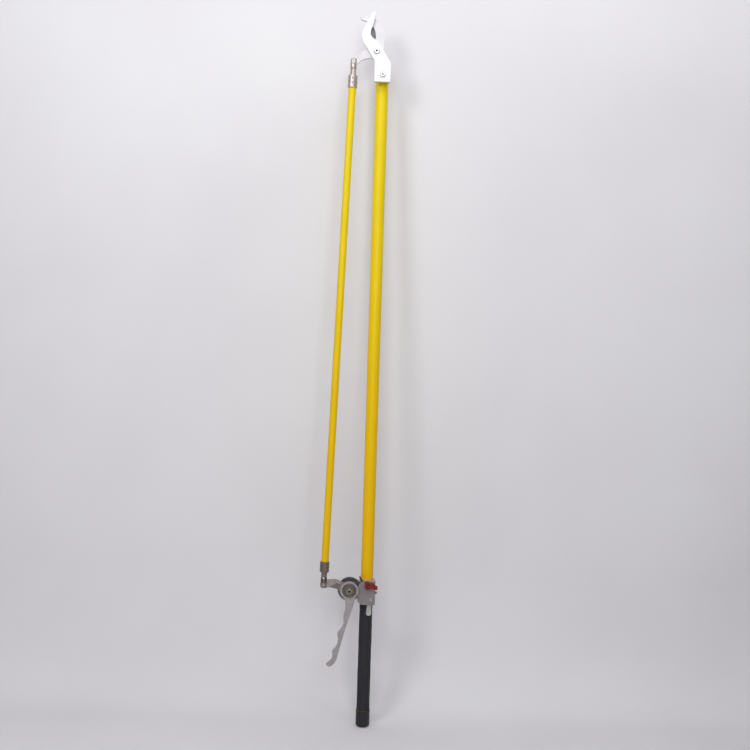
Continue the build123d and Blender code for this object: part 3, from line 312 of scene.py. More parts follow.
finishes = {
    "gelcoatYellow": {
        "colour": "#e9d010", "second": "#e3ca0a", "low": "#e8ac00", "rough": 0.4,
        "specular": 0.16, "coat": 0.05, "coatRough": 0.22, "lines": (1.0, 1.0, 0.02),
        "lineScale": 700.0, "lineColour": "#e0bb06", "lineShare": 0.3, "grain": 900.0,
        "mottle": 9.0, "bump": 0.1, "dust": 0.04, "dustColour": "#b79a34"},
    "rodYellow": {
        "colour": "#ecd412", "second": "#e6cb0c", "low": "#eab200", "rough": 0.4,
        "specular": 0.16, "coat": 0.05, "coatRough": 0.22, "turn": (0, rodLean, 0),
        "lines": (1.0, 1.0, 0.02), "lineScale": 800.0, "lineColour": "#dcb606", "lineShare": 0.35,
        "grain": 900.0, "mottle": 9.0, "bump": 0.1, "dust": 0.04, "dustColour": "#b79a34"},
    "foamCore": {
        "colour": "#e2d6a8", "second": "#d2c48e", "rough": 0.85, "grain": 700.0, "mottle": 300.0,
        "bump": 0.6},
    "gripRubber": {
        "colour": "#28272c", "second": "#222126", "rough": 0.62, "grain": 1100.0, "mottle": 120.0,
        "bump": 0.55, "bumpDepth": 0.0003, "dust": 0.12, "dustColour": "#4a4948",
        "specular": 0.35},
    "capRubber": {
        "colour": "#161519", "second": "#1b1a1e", "rough": 0.48, "grain": 700.0, "mottle": 80.0,
        "bump": 0.3, "dust": 0.18, "dustColour": "#3f3c3a", "wear": 0.35, "bare": "#333234",
        "wearWidth": 0.0012},
    "headEnamel": {
        "colour": "#eeeef1", "second": "#e9eaed", "rough": 0.4, "coat": 0.08, "specular": 0.35,
        "grain": 420.0, "mottle": 40.0, "bump": 0.16, "wear": 0.4, "bare": "#9d9b9a",
        "bareMetal": 0.7, "dust": 0.05, "dustColour": "#c9c5c0"},
    # its edges wear to dark bare metal, set strong enough to stand as painted shade along the jaw's
    # edges
    "jawEnamel": {
        "colour": "#dedce1", "second": "#d8d6db", "rough": 0.4, "coat": 0.08, "specular": 0.35,
        "grain": 520.0, "mottle": 50.0, "bump": 0.2, "wear": 0.85, "wearWidth": 0.0012,
        "bare": "#8b8988", "bareMetal": 0.6, "dust": 0.08, "dustColour": "#bdb9b4"},
    "groundSteel": {
        "colour": "#878789", "second": "#767678", "rough": 0.42, "metal": 0.6,
        "lines": (0.1, 1.0, 1.0), "lineScale": 1600.0, "lineColour": "#68686b", "lineShare": 0.6,
        "grain": 1800.0, "bump": 0.35},
    # both clevises are the same steel in two copies: the bottom one is painted darker as shade, the
    # top one painted lighter as light
    "clevisSteelPaintedShade": {
        "colour": "#9d928c", "second": "#857973", "rough": 0.28, "metal": 0.9,
        "lines": (0.05, 0.05, 1.0), "turn": (0, rodLean, 0), "lineScale": 2200.0,
        "lineColour": "#6e635b", "lineShare": 0.5, "grain": 1500.0, "mottle": 150.0, "bump": 0.12,
        "dust": 0.15, "dustColour": "#5a514a"},
    "clevisSteelPaintedLight": {
        "colour": "#c9bfba", "second": "#b8aea8", "rough": 0.36, "metal": 0.6,
        "lines": (0.05, 0.05, 1.0), "turn": (0, rodLean, 0), "lineScale": 2200.0,
        "lineColour": "#a39892", "lineShare": 0.5, "grain": 1500.0, "mottle": 150.0, "bump": 0.12,
        "dust": 0.15, "dustColour": "#5a514a"},
    "pinSteel": {
        "colour": "#b7b3ae", "second": "#98938e", "rough": 0.28, "metal": 1.0, "grain": 1800.0,
        "mottle": 300.0, "bump": 0.2, "dust": 0.15, "dustColour": "#4c4742", "wear": 0.4,
        "bare": "#dedcda"},
    "boltZinc": {
        "colour": "#e2e1e1", "second": "#cfcdcc", "rough": 0.3, "metal": 0.75, "grain": 1500.0,
        "mottle": 350.0, "bump": 0.2, "wear": 0.5, "bare": "#e6e4e2", "dust": 0.1,
        "dustColour": "#57534e"},
    "springWire": {
        "colour": "#8d8b8a", "second": "#6e6c6b", "rough": 0.25, "metal": 1.0, "grain": 2400.0,
        "mottle": 500.0, "bump": 0.15},
    "bushBronze": {
        "colour": "#a8834a", "second": "#8a6835", "rough": 0.34, "metal": 1.0, "grain": 1500.0,
        "mottle": 300.0, "bump": 0.2},
    "crankCasting": {
        "colour": "#aaa19e", "second": "#968d8a", "rough": 0.4, "metal": 0.45, "grain": 800.0,
        "mottle": 130.0, "bump": 0.5, "bumpDepth": 0.0003, "wear": 0.6, "bare": "#d8d6d4",
        "bareMetal": 0.8, "dust": 0.22, "dustColour": "#6b6562"},
    # its edges wear to near-white bare metal, set strong enough to stand as a painted highlight
    # along the handle's humps and rims
    "leverCasting": {
        "colour": "#aea8a9", "second": "#9f9999", "rough": 0.34, "metal": 0.55, "grain": 700.0,
        "mottle": 110.0, "bump": 0.5, "bumpDepth": 0.0003, "wear": 1.0, "wearWidth": 0.0011,
        "bare": "#f6f4f4", "bareMetal": 0.5, "dust": 0.15, "dustColour": "#7f7876"},
    "blackedSteel": {
        "colour": "#4b4e57", "second": "#3b3d45", "rough": 0.5, "metal": 0.25, "specular": 0.4,
        "grain": 1600.0, "mottle": 220.0, "bump": 0.25, "wear": 0.8, "bare": "#8b8d92",
        "dust": 0.12, "dustColour": "#4f4b47"},
    "discSteel": {
        "colour": "#8f847a", "second": "#7a6f66", "rough": 0.42, "metal": 0.45, "centre": hubAt,
        "turn": facingFront, "lines": "around", "lineScale": 1500.0, "lineColour": "#4e463f",
        "lineShare": 0.55, "grain": 1300.0, "mottle": 260.0, "bump": 0.35, "wear": 0.7,
        "bare": "#b3aaa2", "dust": 0.3, "dustColour": "#4a423b"},
    "pawlSteel": {
        "colour": "#353336", "second": "#29282b", "rough": 0.45, "metal": 0.3, "grain": 1500.0,
        "mottle": 240.0, "bump": 0.25, "wear": 0.8, "bare": "#a3a1a0"},
    "bracketCasting": {
        "colour": "#c4bfba", "second": "#b3aea9", "rough": 0.36, "metal": 0.5, "grain": 520.0,
        "mottle": 70.0, "bump": 0.35, "bumpDepth": 0.0003, "wear": 0.75, "bare": "#dcdad9",
        "bareMetal": 0.7, "dust": 0.12, "dustColour": "#6a6563"},
    # its edges wear through to near-white metal, set strong enough to stand as a painted highlight
    # on the cover's rim
    "coverPaint": {
        "colour": "#827b7c", "second": "#7a7475", "rough": 0.38, "grain": 600.0, "mottle": 50.0,
        "bump": 0.25, "wear": 1.0, "wearWidth": 0.0012, "bare": "#f0eeed", "bareMetal": 0.5,
        "dust": 0.08, "dustColour": "#6a6563"},
    # the crank's web: rough as cast, with real dust, and darker as painted shade in the recess
    "crankWebPaintedShade": {
        "colour": "#857c79", "second": "#756c69", "rough": 0.62, "metal": 0.3, "grain": 600.0,
        "mottle": 120.0, "bump": 0.7, "bumpDepth": 0.0003, "dust": 0.3, "dustColour": "#5a5450"},
    "dullRed": {
        "colour": "#6b2022", "second": "#52181b", "rough": 0.42, "metal": 0.3, "grain": 1100.0,
        "mottle": 260.0, "bump": 0.25, "wear": 0.4, "bare": "#9a6a69"},
    "releaseRed": {
        "colour": "#8a1116", "second": "#680a0f", "rough": 0.34, "coat": 0.12, "specular": 0.35,
        "grain": 900.0, "mottle": 160.0, "bump": 0.2, "wear": 0.5, "bare": "#c4565a", "dust": 0.1,
        "dustColour": "#5d2c2c"},
    "tabGrey": {
        "colour": "#b0b3aa", "second": "#a6a9a0", "rough": 0.4, "grain": 800.0, "mottle": 120.0,
        "bump": 0.3, "wear": 0.6, "bare": "#c9cac4", "dust": 0.15, "dustColour": "#6d6c64"},
    "nubBlack": {
        "colour": "#6a645d", "second": "#554f49", "rough": 0.4, "metal": 0.5, "grain": 1500.0,
        "mottle": 260.0, "bump": 0.25, "wear": 0.6, "bare": "#8a877f"},
    "tabScrewSteel": {
        "colour": "#b5b1b1", "second": "#a29e9e", "rough": 0.32, "metal": 0.5, "grain": 1500.0,
        "mottle": 350.0, "bump": 0.25, "wear": 0.6, "bare": "#e4e2e1", "dust": 0.2,
        "dustColour": "#6a6563"},
    # rubbed aluminium, made near white as a painted highlight on the lever's finger side
    "rubbedAlloyAndHighlight": {
        "colour": "#efedee", "second": "#dddadb", "rough": 0.24, "metal": 0.55, "grain": 900.0,
        "mottle": 160.0, "bump": 0.2, "dust": 0.08, "dustColour": "#7f7876"},
    # painted shade for the inside of a bolt's key
    "keyPaintedShade": {
        "colour": "#3b3735", "second": "#2a2725", "rough": 0.7, "metal": 0.2, "grain": 1500.0,
        "mottle": 300.0, "bump": 0.4},
    "hubBoltSteel": {
        "colour": "#a0968c", "second": "#8a8077", "rough": 0.34, "metal": 0.6, "grain": 1500.0,
        "mottle": 350.0, "bump": 0.25, "wear": 0.5, "bare": "#d8d2cb", "dust": 0.2,
        "dustColour": "#4a423b"},
}
looks = {name: buildFinish(name, plainLook | look) for name, look in finishes.items()}
print("finishes made:", len(looks))

# CAD nodes that keep their shape and take a better finish

nodeLooks = {
    "main_pole": "gelcoatYellow", "pole_core": "foamCore", "operating_rod": "rodYellow",
    "rod_core": "foamCore", "jaw_bush": "bushBronze", "jaw_pivot_washer": "boltZinc",
    "jaw_pivot_nut": "boltZinc", "head_washer": "boltZinc", "head_nut": "boltZinc",
    "top_clevis_pin": "pinSteel", "bottom_clevis_pin": "pinSteel", "pin_clips": "springWire",
    "wheel_dowels": "pinSteel", "drive_plunger": "pinSteel", "plunger_spring": "springWire",
    "hub_spindle": "pinSteel", "hub_washer": "discSteel", "pawl_pin": "pinSteel",
    "pawl_spring": "springWire", "release_cam": "pinSteel", "tab_spring": "springWire",
}
for nodeName, lookName in nodeLooks.items():
    nodes[nodeName].data.materials.clear()
    nodes[nodeName].data.materials.append(looks[lookName])


def newPiece(name, mesh):
    piece = bpy.data.objects.new(name, mesh)
    bpy.context.scene.collection.objects.link(piece)
    return piece


def settle(piece):
    # modifiers applied, and the result kept as the piece's own plain mesh
    bpy.context.view_layer.update()
    graph = bpy.context.evaluated_depsgraph_get()
    mesh = bpy.data.meshes.new_from_object(piece.evaluated_get(graph))
    piece.modifiers.clear()
    piece.data = mesh


# flat is the angle under which facets merge, limit the angle from which an edge is rounded, and
# footBand the height at a piece's foot that lift raises
rounding = {"weld": 0.000008, "flat": math.radians(0.6), "limit": math.radians(28),
            "segments": 3, "footBand": 0.0005}


def softCopy(nodeName, name, edge, look, groundAndShadingLook=None, isGroundAndShading=None, lift=0.0, share=None):
    # a merged copy of the CAD node with rounded edges, as cast, forged or turned parts have
    source = nodes[nodeName]
    mesh = source.data.copy()
    if "custom_normal" in mesh.attributes:
        mesh.attributes.remove(mesh.attributes["custom_normal"])
    work = bmesh.new()
    work.from_mesh(mesh)
    bmesh.ops.remove_doubles(work, verts=work.verts, dist=rounding["weld"])
    bmesh.ops.dissolve_limit(work, angle_limit=rounding["flat"], verts=work.verts,
                             edges=work.edges, delimit={"NORMAL"})
    work.normal_update()
    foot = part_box(nodeName)[0].z
    for vert in work.verts:
        if vert.co.z < foot + rounding["footBand"]:
            vert.co.z += lift
    mesh.materials.clear()
    mesh.materials.append(looks[look])
    # the second finish is ground steel on the jaws, painted shade in the bolts' keys and the
    # crank's web, and rubbing with a painted highlight on the lever's finger side
    if groundAndShadingLook:
        mesh.materials.append(looks[groundAndShadingLook])
    for face in work.faces:
        face.smooth = True
        second = isGroundAndShading and isGroundAndShading(face.calc_center_median(), face.normal)
        face.material_index = 1 if second else 0
    if share:
        weight = work.edges.layers.float.new("bevel_weight_edge")
        for line in work.edges:
            if len(line.link_faces) == 2 and line.calc_face_angle(0) > rounding["limit"]:
                line[weight] = share((line.verts[0].co + line.verts[1].co) / 2)
    work.to_mesh(mesh)
    work.free()
    piece = newPiece(name, mesh)
    bevel = piece.modifiers.new("round", "BEVEL")
    bevel.width = edge
    bevel.segments = rounding["segments"]
    bevel.limit_method = "WEIGHT" if share else "ANGLE"
    bevel.angle_limit = rounding["limit"]
    bevel.miter_outer = "MITER_ARC"
    bevel.harden_normals = True
    settle(piece)
    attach(piece, source["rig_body"])
    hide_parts(nodeName)


# where each jaw takes the ground steel: the bevels of the cutting edges, ground bare, and the
# beak's underside, bare steel made dark also as painted shade under the beak;
# rightward, frontward, sideways and downward are limits of a face's normal, the rest are places
fixedBevel = {"foot": 1.757, "left": -0.037, "rightward": 0.15, "frontward": (-0.985, 0.3)}
movingBevel = {"x": -0.0539, "z": 1.7725, "radius": 0.0375, "foot": 1.752, "beakFoot": 1.79,
               "sideways": 0.95, "downward": -0.3}


def fixedJawGround(centre, normal):
    if centre.z < fixedBevel["foot"] or centre.x < fixedBevel["left"]:
        return False
    low, high = fixedBevel["frontward"]
    return normal.x > fixedBevel["rightward"] and low < normal.y < high


def movingJawGroundAndShade(centre, normal):
    # the beak's downward faces: bare steel, dark here also as painted shade under the beak
    if centre.z > movingBevel["beakFoot"] and normal.z < movingBevel["downward"]:
        return True
    away = math.hypot(centre.x - movingBevel["x"], centre.z - movingBevel["z"])
    inside = away < movingBevel["radius"] and centre.z > movingBevel["foot"]
    return inside and abs(normal.y) < movingBevel["sideways"]


# the key's walls and floor are painted dark, as the shade inside the recess
keyDepth = 0.0002  # how far behind a bolt's face its key begins to look dark


def inKey(nodeName, radius):
    # the walls and the floor of the key in a bolt's head, which lies at the node's front; these
    # faces take the key's painted shade
    low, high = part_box(nodeName)
    x, z = (low.x + high.x) / 2, (low.z + high.z) / 2
    mouth = low.y + keyDepth

    def test(centre, normal):
        return math.hypot(centre.x - x, centre.z - z) < radius and centre.y > mouth

    return test


# drops are heights below the hub; frontward, leftward and sideways limits of a face's normal
web = {"span": (-0.1, -0.058), "front": -0.0306, "frontward": -0.9}
handle = {"rubAndHighlightDrop": 0.055, "roundDrop": 0.05, "neckShare": 0.36, "leftward": -0.2,
          "sideways": 0.9}


def armWebInShade(centre, normal):
    # the floor between the arm's upper rib and its tongue: rougher casting, and painted darker as
    # the shade in this recess
    inside = web["span"][0] < centre.x < web["span"][1] and centre.y > web["front"]
    return inside and normal.y < web["frontward"]


def fingerSideRubAndHighlight(centre, normal):
    # humps and curled tip, rubbed bright by the hand, and lighter still as a painted highlight on
    # the faces turned towards the light at the upper left
    if centre.z >= hubAt[2] - handle["rubAndHighlightDrop"]:
        return False
    return normal.x < handle["leftward"] and abs(normal.y) < handle["sideways"]


def handleShare(place):
    # rounder along the finger humps and the palm side than at the neck and its step
    return 1.0 if place.z < hubAt[2] - handle["roundDrop"] else handle["neckShare"]


# node, piece, width of its rounded edges, finish, and what only that piece has
castings = (
    ("head_socket", "headSocket", 0.0012, "headEnamel", {"lift": 0.0095}),
    ("fixed_jaw", "fixedJaw", 0.0005, "headEnamel",
     {"groundAndShadingLook": "groundSteel", "isGroundAndShading": fixedJawGround}),
    ("moving_jaw", "movingJaw", 0.0007, "jawEnamel",
     {"groundAndShadingLook": "groundSteel", "isGroundAndShading": movingJawGroundAndShade}),
    ("top_clevis", "topClevis", 0.0005, "clevisSteelPaintedLight", {}),
    ("bottom_clevis", "bottomClevis", 0.0005, "clevisSteelPaintedShade", {}),
    ("crank_arm", "crankArm", 0.0007, "crankCasting",
     {"groundAndShadingLook": "crankWebPaintedShade", "isGroundAndShading": armWebInShade}),
    ("squeeze_lever", "squeezeLever", 0.0025, "leverCasting",
     {"share": handleShare, "groundAndShadingLook": "rubbedAlloyAndHighlight", "isGroundAndShading": fingerSideRubAndHighlight}),
    ("bracket", "bracketBody", 0.001, "bracketCasting", {}),
    ("bracket_clamp", "bracketClamp", 0.0006, "bracketCasting", {}),
    ("bracket_cover", "bracketCover", 0.0005, "coverPaint", {}),
    ("holding_pawl", "holdingPawl", 0.0003, "pawlSteel", {}),
    ("release_lever", "releaseLever", 0.0004, "releaseRed", {}),
    ("thumb_tab", "thumbTab", 0.0004, "tabGrey", {}),
    ("butt_cap", "buttCap", 0.0008, "capRubber", {}),
    ("jaw_pivot_bolt", "jawPivotBolt", 0.0003, "boltZinc",
     {"groundAndShadingLook": "keyPaintedShade", "isGroundAndShading": inKey("jaw_pivot_bolt", 0.003)}),
    ("head_bolt", "headBolt", 0.0003, "boltZinc",
     {"groundAndShadingLook": "keyPaintedShade", "isGroundAndShading": inKey("head_bolt", 0.0025)}),
    ("hub_bolt", "hubBolt", 0.0003, "hubBoltSteel",
     {"groundAndShadingLook": "keyPaintedShade", "isGroundAndShading": inKey("hub_bolt", 0.0035)}),
    ("lock_screw", "lockScrew", 0.0003, "nubBlack", {}),
    ("release_screw", "releaseScrew", 0.0002, "dullRed", {}),
    ("tab_screw", "tabScrew", 0.0003, "tabScrewSteel", {}),
)
for nodeName, pieceName, edge, look, extra in castings:
    softCopy(nodeName, pieceName, edge, look, **extra)
print("castings rounded:", len(castings))

# what repeats, made with Geometry Nodes


def repeatTree(name):
    # sets one form on every point of the base mesh, turned by step degrees from point to point
    tree = bpy.data.node_groups.new(name, "GeometryNodeTree")
    for label, kind in (("Points", "NodeSocketGeometry"), ("Form", "NodeSocketObject"),
                        ("Step", "NodeSocketFloat"), ("Start", "NodeSocketFloat"),
                        ("Weld", "NodeSocketFloat"), ("Finish", "NodeSocketMaterial")):
        tree.interface.new_socket(name=label, in_out="INPUT", socket_type=kind)
    tree.interface.new_socket(name="Result", in_out="OUTPUT", socket_type="NodeSocketGeometry")
    gin, gout = tree.nodes.new("NodeGroupInput"), tree.nodes.new("NodeGroupOutput")
    form = tree.nodes.new("GeometryNodeObjectInfo")
    tree.links.new(gin.outputs["Form"], form.inputs[0])
    index = tree.nodes.new("GeometryNodeInputIndex")
    angle = tree.nodes.new("ShaderNodeMath")
    angle.operation = "MULTIPLY_ADD"
    tree.links.new(index.outputs[0], angle.inputs[0])
    tree.links.new(gin.outputs["Step"], angle.inputs[1])
    tree.links.new(gin.outputs["Start"], angle.inputs[2])
    turn = tree.nodes.new("ShaderNodeCombineXYZ")
    tree.links.new(angle.outputs[0], turn.inputs["Y"])
    toPoints = tree.nodes.new("GeometryNodeInstanceOnPoints")
    tree.links.new(gin.outputs["Points"], toPoints.inputs["Points"])
    tree.links.new(form.outputs["Geometry"], toPoints.inputs["Instance"])
    tree.links.new(turn.outputs[0], toPoints.inputs["Rotation"])
    realize = tree.nodes.new("GeometryNodeRealizeInstances")
    tree.links.new(toPoints.outputs[0], realize.inputs[0])
    weld = tree.nodes.new("GeometryNodeMergeByDistance")
    tree.links.new(realize.outputs[0], weld.inputs["Geometry"])
    tree.links.new(gin.outputs["Weld"], weld.inputs["Distance"])
    paint = tree.nodes.new("GeometryNodeSetMaterial")
    tree.links.new(weld.outputs[0], paint.inputs["Geometry"])
    tree.links.new(gin.outputs["Finish"], paint.inputs["Material"])
    tree.links.new(paint.outputs[0], gout.inputs[0])
    return tree


repeat = repeatTree("repeatOnPoints")
hairGap = 0.000001  # points closer than this are one point


def repeated(name, form, points, look, step=0.0, start=0.0, weld=hairGap):
    mesh = bpy.data.meshes.new(name)
    mesh.from_pydata(points, [], [])
    piece = newPiece(name, mesh)
    modifier = piece.modifiers.new("repeat", "NODES")
    modifier.node_group = repeat
    sockets = {item.name: item.identifier for item in repeat.interface.items_tree
               if item.item_type == "SOCKET"}
    for label, value in (("Form", form), ("Step", step), ("Start", start), ("Weld", weld),
                         ("Finish", looks[look])):
        modifier[sockets[label]] = value
    settle(piece)
    bpy.data.objects.remove(form)
    return piece


def meshOf(name, work):
    mesh = bpy.data.meshes.new(name)
    work.to_mesh(mesh)
    work.free()
    return mesh


def formFromBmesh(name, work):
    bmesh.ops.remove_doubles(work, verts=work.verts, dist=hairGap)
    bmesh.ops.recalc_face_normals(work, faces=work.faces)
    return newPiece(name, meshOf(name, work))


def smoothByAngle(piece, angle):
    # an edge of more degrees than this looks sharp
    piece.data.shade_smooth()
    piece.data.set_sharp_from_angle(angle=math.radians(angle))


def polarPoint(radius, degrees):
    angle = math.radians(degrees)
    return radius * math.cos(angle), radius * math.sin(angle)


def prism(work, outline, back, front, ease):
    # a flat outline (x, z) given thickness along Y, with its rims eased; front is the lower y
    rings = []
    cx = sum(p[0] for p in outline) / len(outline)
    cz = sum(p[1] for p in outline) / len(outline)
    for y, inset in ((back, ease), (back - ease, 0.0), (front + ease, 0.0), (front, ease)):
        ring = []
        for x, z in outline:
            away = math.hypot(x - cx, z - cz)
            k = 1 - inset / away if away else 1
            ring.append(work.verts.new((cx + (x - cx) * k, y, cz + (z - cz) * k)))
        rings.append(ring)
    for one, two in zip(rings, rings[1:]):
        for i in range(len(outline)):
            j = (i + 1) % len(outline)
            work.faces.new((one[i], one[j], two[j], two[i]))
    work.faces.new(rings[0][::-1])
    work.faces.new(rings[-1])


def lathe(work, profile, count, axis="Y", centre=(0, 0, 0)):
    # closed profile of (radius, along) turned round an axis through centre
    rings = []
    for i in range(count):
        a = 2 * math.pi * i / count
        ring = []
        for r, t in profile:
            if axis == "Y":
                p = (centre[0] + r * math.cos(a), centre[1] + t, centre[2] + r * math.sin(a))
            else:
                p = (centre[0] + r * math.cos(a), centre[1] + r * math.sin(a), centre[2] + t)
            ring.append(work.verts.new(p))
        rings.append(ring)
    for i in range(count):
        one, two = rings[i], rings[(i + 1) % count]
        for j in range(len(profile)):
            k = (j + 1) % len(profile)
            work.faces.new((one[j], one[k], two[k], two[j]))


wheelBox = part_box("ratchet_wheel")
# tooth names the radius of each corner of one tooth, and gives its angle
wheel = {"teeth": 36, "tip": 0.0312, "root": 0.029, "buried": 0.028, "bore": 0.00606,
         "tooth": (("buried", -0.8), ("root", -0.7), ("tip", 0.3), ("tip", 1.3), ("root", 9.3),
                   ("buried", 9.2)),
         "back": wheelBox[1].y, "front": wheelBox[0].y, "phase": 20.9, "ease": 0.0003,
         "facets": 144, "crease": 30}


def buildRatchetWheel():
    # saw teeth set round a plain hub plate
    tooth = bmesh.new()
    outline = [polarPoint(wheel[radius], angle) for radius, angle in wheel["tooth"]]
    prism(tooth, outline, wheel["back"], wheel["front"], wheel["ease"])
    form = formFromBmesh("toothForm", tooth)
    step = -math.radians(360 / wheel["teeth"])
    teeth = repeated("ratchetTeeth", form, [hubAt] * wheel["teeth"], "blackedSteel", step=step,
                     start=-math.radians(wheel["phase"]))
    plate = bmesh.new()
    root, bore, ease = wheel["root"], wheel["bore"], wheel["ease"]
    profile = ((bore, wheel["back"]), (root - ease, wheel["back"]), (root, wheel["back"] - ease),
               (root, wheel["front"] + ease), (root - ease, wheel["front"]), (bore, wheel["front"]))
    lathe(plate, profile, wheel["facets"], "Y", hubAt)
    bmesh.ops.recalc_face_normals(plate, faces=plate.faces)
    joined = bmesh.new()
    joined.from_mesh(teeth.data)
    joined.from_mesh(meshOf("wheelPlate", plate))
    for face in joined.faces:
        face.material_index = 0
    joined.to_mesh(teeth.data)
    joined.free()
    teeth.data.materials.clear()
    teeth.data.materials.append(looks["blackedSteel"])
    smoothByAngle(teeth, wheel["crease"])
    teeth.name = "ratchetWheel"
    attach(teeth, "crank")
    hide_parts("ratchet_wheel")


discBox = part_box("drive_disc")
# rimShare and mouthShare are parts of half a sector's angle, footShare of half the slot's width,
# and wallEase and footEase of ease
disc = {"radius": 0.018, "bore": 0.00805, "slots": 16, "slotWidth": 0.0027, "slotFoot": 0.0104,
        "slotRound": 0.0006, "rimShare": 0.85, "footShare": 0.7, "mouthShare": 0.7, "wallEase": 0.4,
        "footEase": 0.35, "ease": 0.0007, "near": 0.0001, "boreNear": 0.0005, "weld": 0.00001,
        "back": discBox[1].y, "front": discBox[0].y, "phase": 90, "crease": 30}


def buildDriveDisc():
    # one sector with its radial slot, set round the sleeve once for each slot and welded
    half = 180 / disc["slots"]
    r, b, w, foot = disc["radius"], disc["bore"], disc["slotWidth"] / 2, disc["slotFoot"]
    mouth = math.degrees(math.asin(w / r))
    narrow, deep = w * disc["footShare"], foot + disc["slotRound"]
    rimAngle = half * disc["rimShare"]
    outline = [polarPoint(r, a) for a in (-half, -rimAngle, -mouth)]
    outline += [(deep, -w), (foot, -narrow), (foot, narrow), (deep, w)]
    outline += [polarPoint(r, a) for a in (mouth, rimAngle, half)]
    outline += [polarPoint(b, a) for a in (half, half / 2, 0, -half / 2, -half)]
    sector = bmesh.new()
    ease = disc["ease"]

    def eased(x, z, inset):
        # the rim and the slot's walls draw back towards the front face, and the bore doesn't
        away = math.hypot(x, z)
        angle = math.degrees(math.atan2(z, x))
        apart = z + math.copysign(inset * disc["wallEase"], z)
        if away > r - disc["near"]:
            if abs(angle) < half * disc["mouthShare"]:
                return x * (r - inset) / away, apart
            return polarPoint(r - inset, angle)
        if away > b + disc["boreNear"]:
            return x - inset * disc["footEase"], apart
        return x, z

    rings = []
    for y, inset in ((disc["back"], 0.0), (disc["front"] + ease, 0.0), (disc["front"], ease)):
        ring = []
        for place in outline:
            x, z = eased(*place, inset)
            ring.append(sector.verts.new((x, y, z)))
        rings.append(ring)
    count = len(outline)
    outerCorner = outline.index(polarPoint(r, half))
    for one, two in zip(rings, rings[1:]):
        for i in range(count):
            # the two sides that the neighbouring sectors cover stay open
            if i not in (outerCorner, count - 1):
                j = (i + 1) % count
                sector.faces.new((one[i], one[j], two[j], two[i]))
    sector.faces.new(rings[0][::-1])
    sector.faces.new(rings[-1])
    form = newPiece("sectorForm", meshOf("sectorForm", sector))
    step = -math.radians(360 / disc["slots"])
    piece = repeated("driveDisc", form, [hubAt] * disc["slots"], "discSteel", step=step,
                     start=math.radians(disc["phase"]), weld=disc["weld"])
    fix = bmesh.new()
    fix.from_mesh(piece.data)
    bmesh.ops.recalc_face_normals(fix, faces=fix.faces)
    fix.to_mesh(piece.data)
    fix.free()
    smoothByAngle(piece, disc["crease"])
    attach(piece, "crank")
    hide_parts("drive_disc")


def capScrewForm(name, size):
    # a cap screw along Y, its seat at y 0, head towards the back
    head, shank, key = size["head"], size["shank"], size["key"]
    tall, foot, floor = size["tall"], -size["reach"], size["tall"] - size["deep"]
    seatEase, rimEase = size["seatEase"], size["rimEase"]
    profile = ((0.0, foot), (shank * size["tipShare"], foot), (shank, foot + size["tipEase"]),
               (shank, 0.0), (head - seatEase, 0.0), (head, seatEase), (head, tall - rimEase),
               (head - rimEase, tall), (key * size["keyFlare"], tall), (key, tall - seatEase),
               (key, floor), (0.0, floor))
    work = bmesh.new()
    lathe(work, profile, size["facets"])
    return formFromBmesh(name, work)


clampScrews = {"head": 0.0034, "shank": 0.002, "key": 0.0016, "tall": 0.0036, "reach": 0.0128,
               "deep": 0.002, "seatEase": 0.0002, "rimEase": 0.0005, "tipEase": 0.0003,
               "tipShare": 0.9, "keyFlare": 1.1, "facets": 24, "crease": 35}


def buildClampScrews():
    low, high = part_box("clamp_screws")
    inset = clampScrews["head"]
    points = [(x, high.y - clampScrews["tall"], z) for x in (low.x + inset, high.x - inset)
              for z in (low.z + inset, high.z - inset)]
    piece = repeated("clampScrews", capScrewForm("screwForm", clampScrews), points, "boltZinc")
    smoothByAngle(piece, clampScrews["crease"])
    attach(piece, "pole")
    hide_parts("clamp_screws")


# each wave is its height, radians per metre and shift; a ring comes every pitch within the band
gripSleeve = {"clear": 0.00005, "roll": 0.0009, "end": 0.0006, "steps": 110, "facets": 72,
              "sink": 0.00026, "waves": ((0.00016, 61, 0.0), (0.0001, 143, 1.1)),
              "ringBand": (0.003, 0.022), "ringPitch": 0.0044, "ringWidth": 0.0013,
              "ringDeep": 0.0004, "crease": 50}


def buildGrip():
    # shrunk rubber sleeve: slightly uneven wall, rolled ends, a few fine rings at each end
    low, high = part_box("grip_sleeve")
    radius = (high.x - low.x) / 2
    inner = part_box("main_pole")[1].x + gripSleeve["clear"]
    rolled = radius - gripSleeve["roll"]
    profile = [(inner, low.z), (rolled, low.z)]
    steps, end = gripSleeve["steps"], gripSleeve["end"]
    for i in range(steps + 1):
        z = low.z + end + (high.z - low.z - 2 * end) * i / steps
        wave = sum(tall * math.sin(z * pace + shift) for tall, pace, shift in gripSleeve["waves"])
        near = min(z - low.z, high.z - z)
        inBand = gripSleeve["ringBand"][0] < near < gripSleeve["ringBand"][1]
        inRing = inBand and near % gripSleeve["ringPitch"] < gripSleeve["ringWidth"]
        groove = gripSleeve["ringDeep"] if inRing else 0.0
        profile.append((radius - gripSleeve["sink"] + wave - groove, z))
    profile += [(rolled, high.z), (inner, high.z)]
    work = bmesh.new()
    lathe(work, profile, gripSleeve["facets"], "Z")
    bmesh.ops.recalc_face_normals(work, faces=work.faces)
    piece = newPiece("gripSleeve", meshOf("gripSleeve", work))
    piece.data.materials.append(looks["gripRubber"])
    smoothByAngle(piece, gripSleeve["crease"])
    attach(piece, "pole")
    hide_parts("grip_sleeve")


ferruleScrews = {"radius": 0.0018, "key": 0.0009, "tall": 0.0026, "ease": 0.0003, "deep": 0.0012,
                 "facets": 20, "apart": 0.003, "band": 0.0005, "crease": 35}


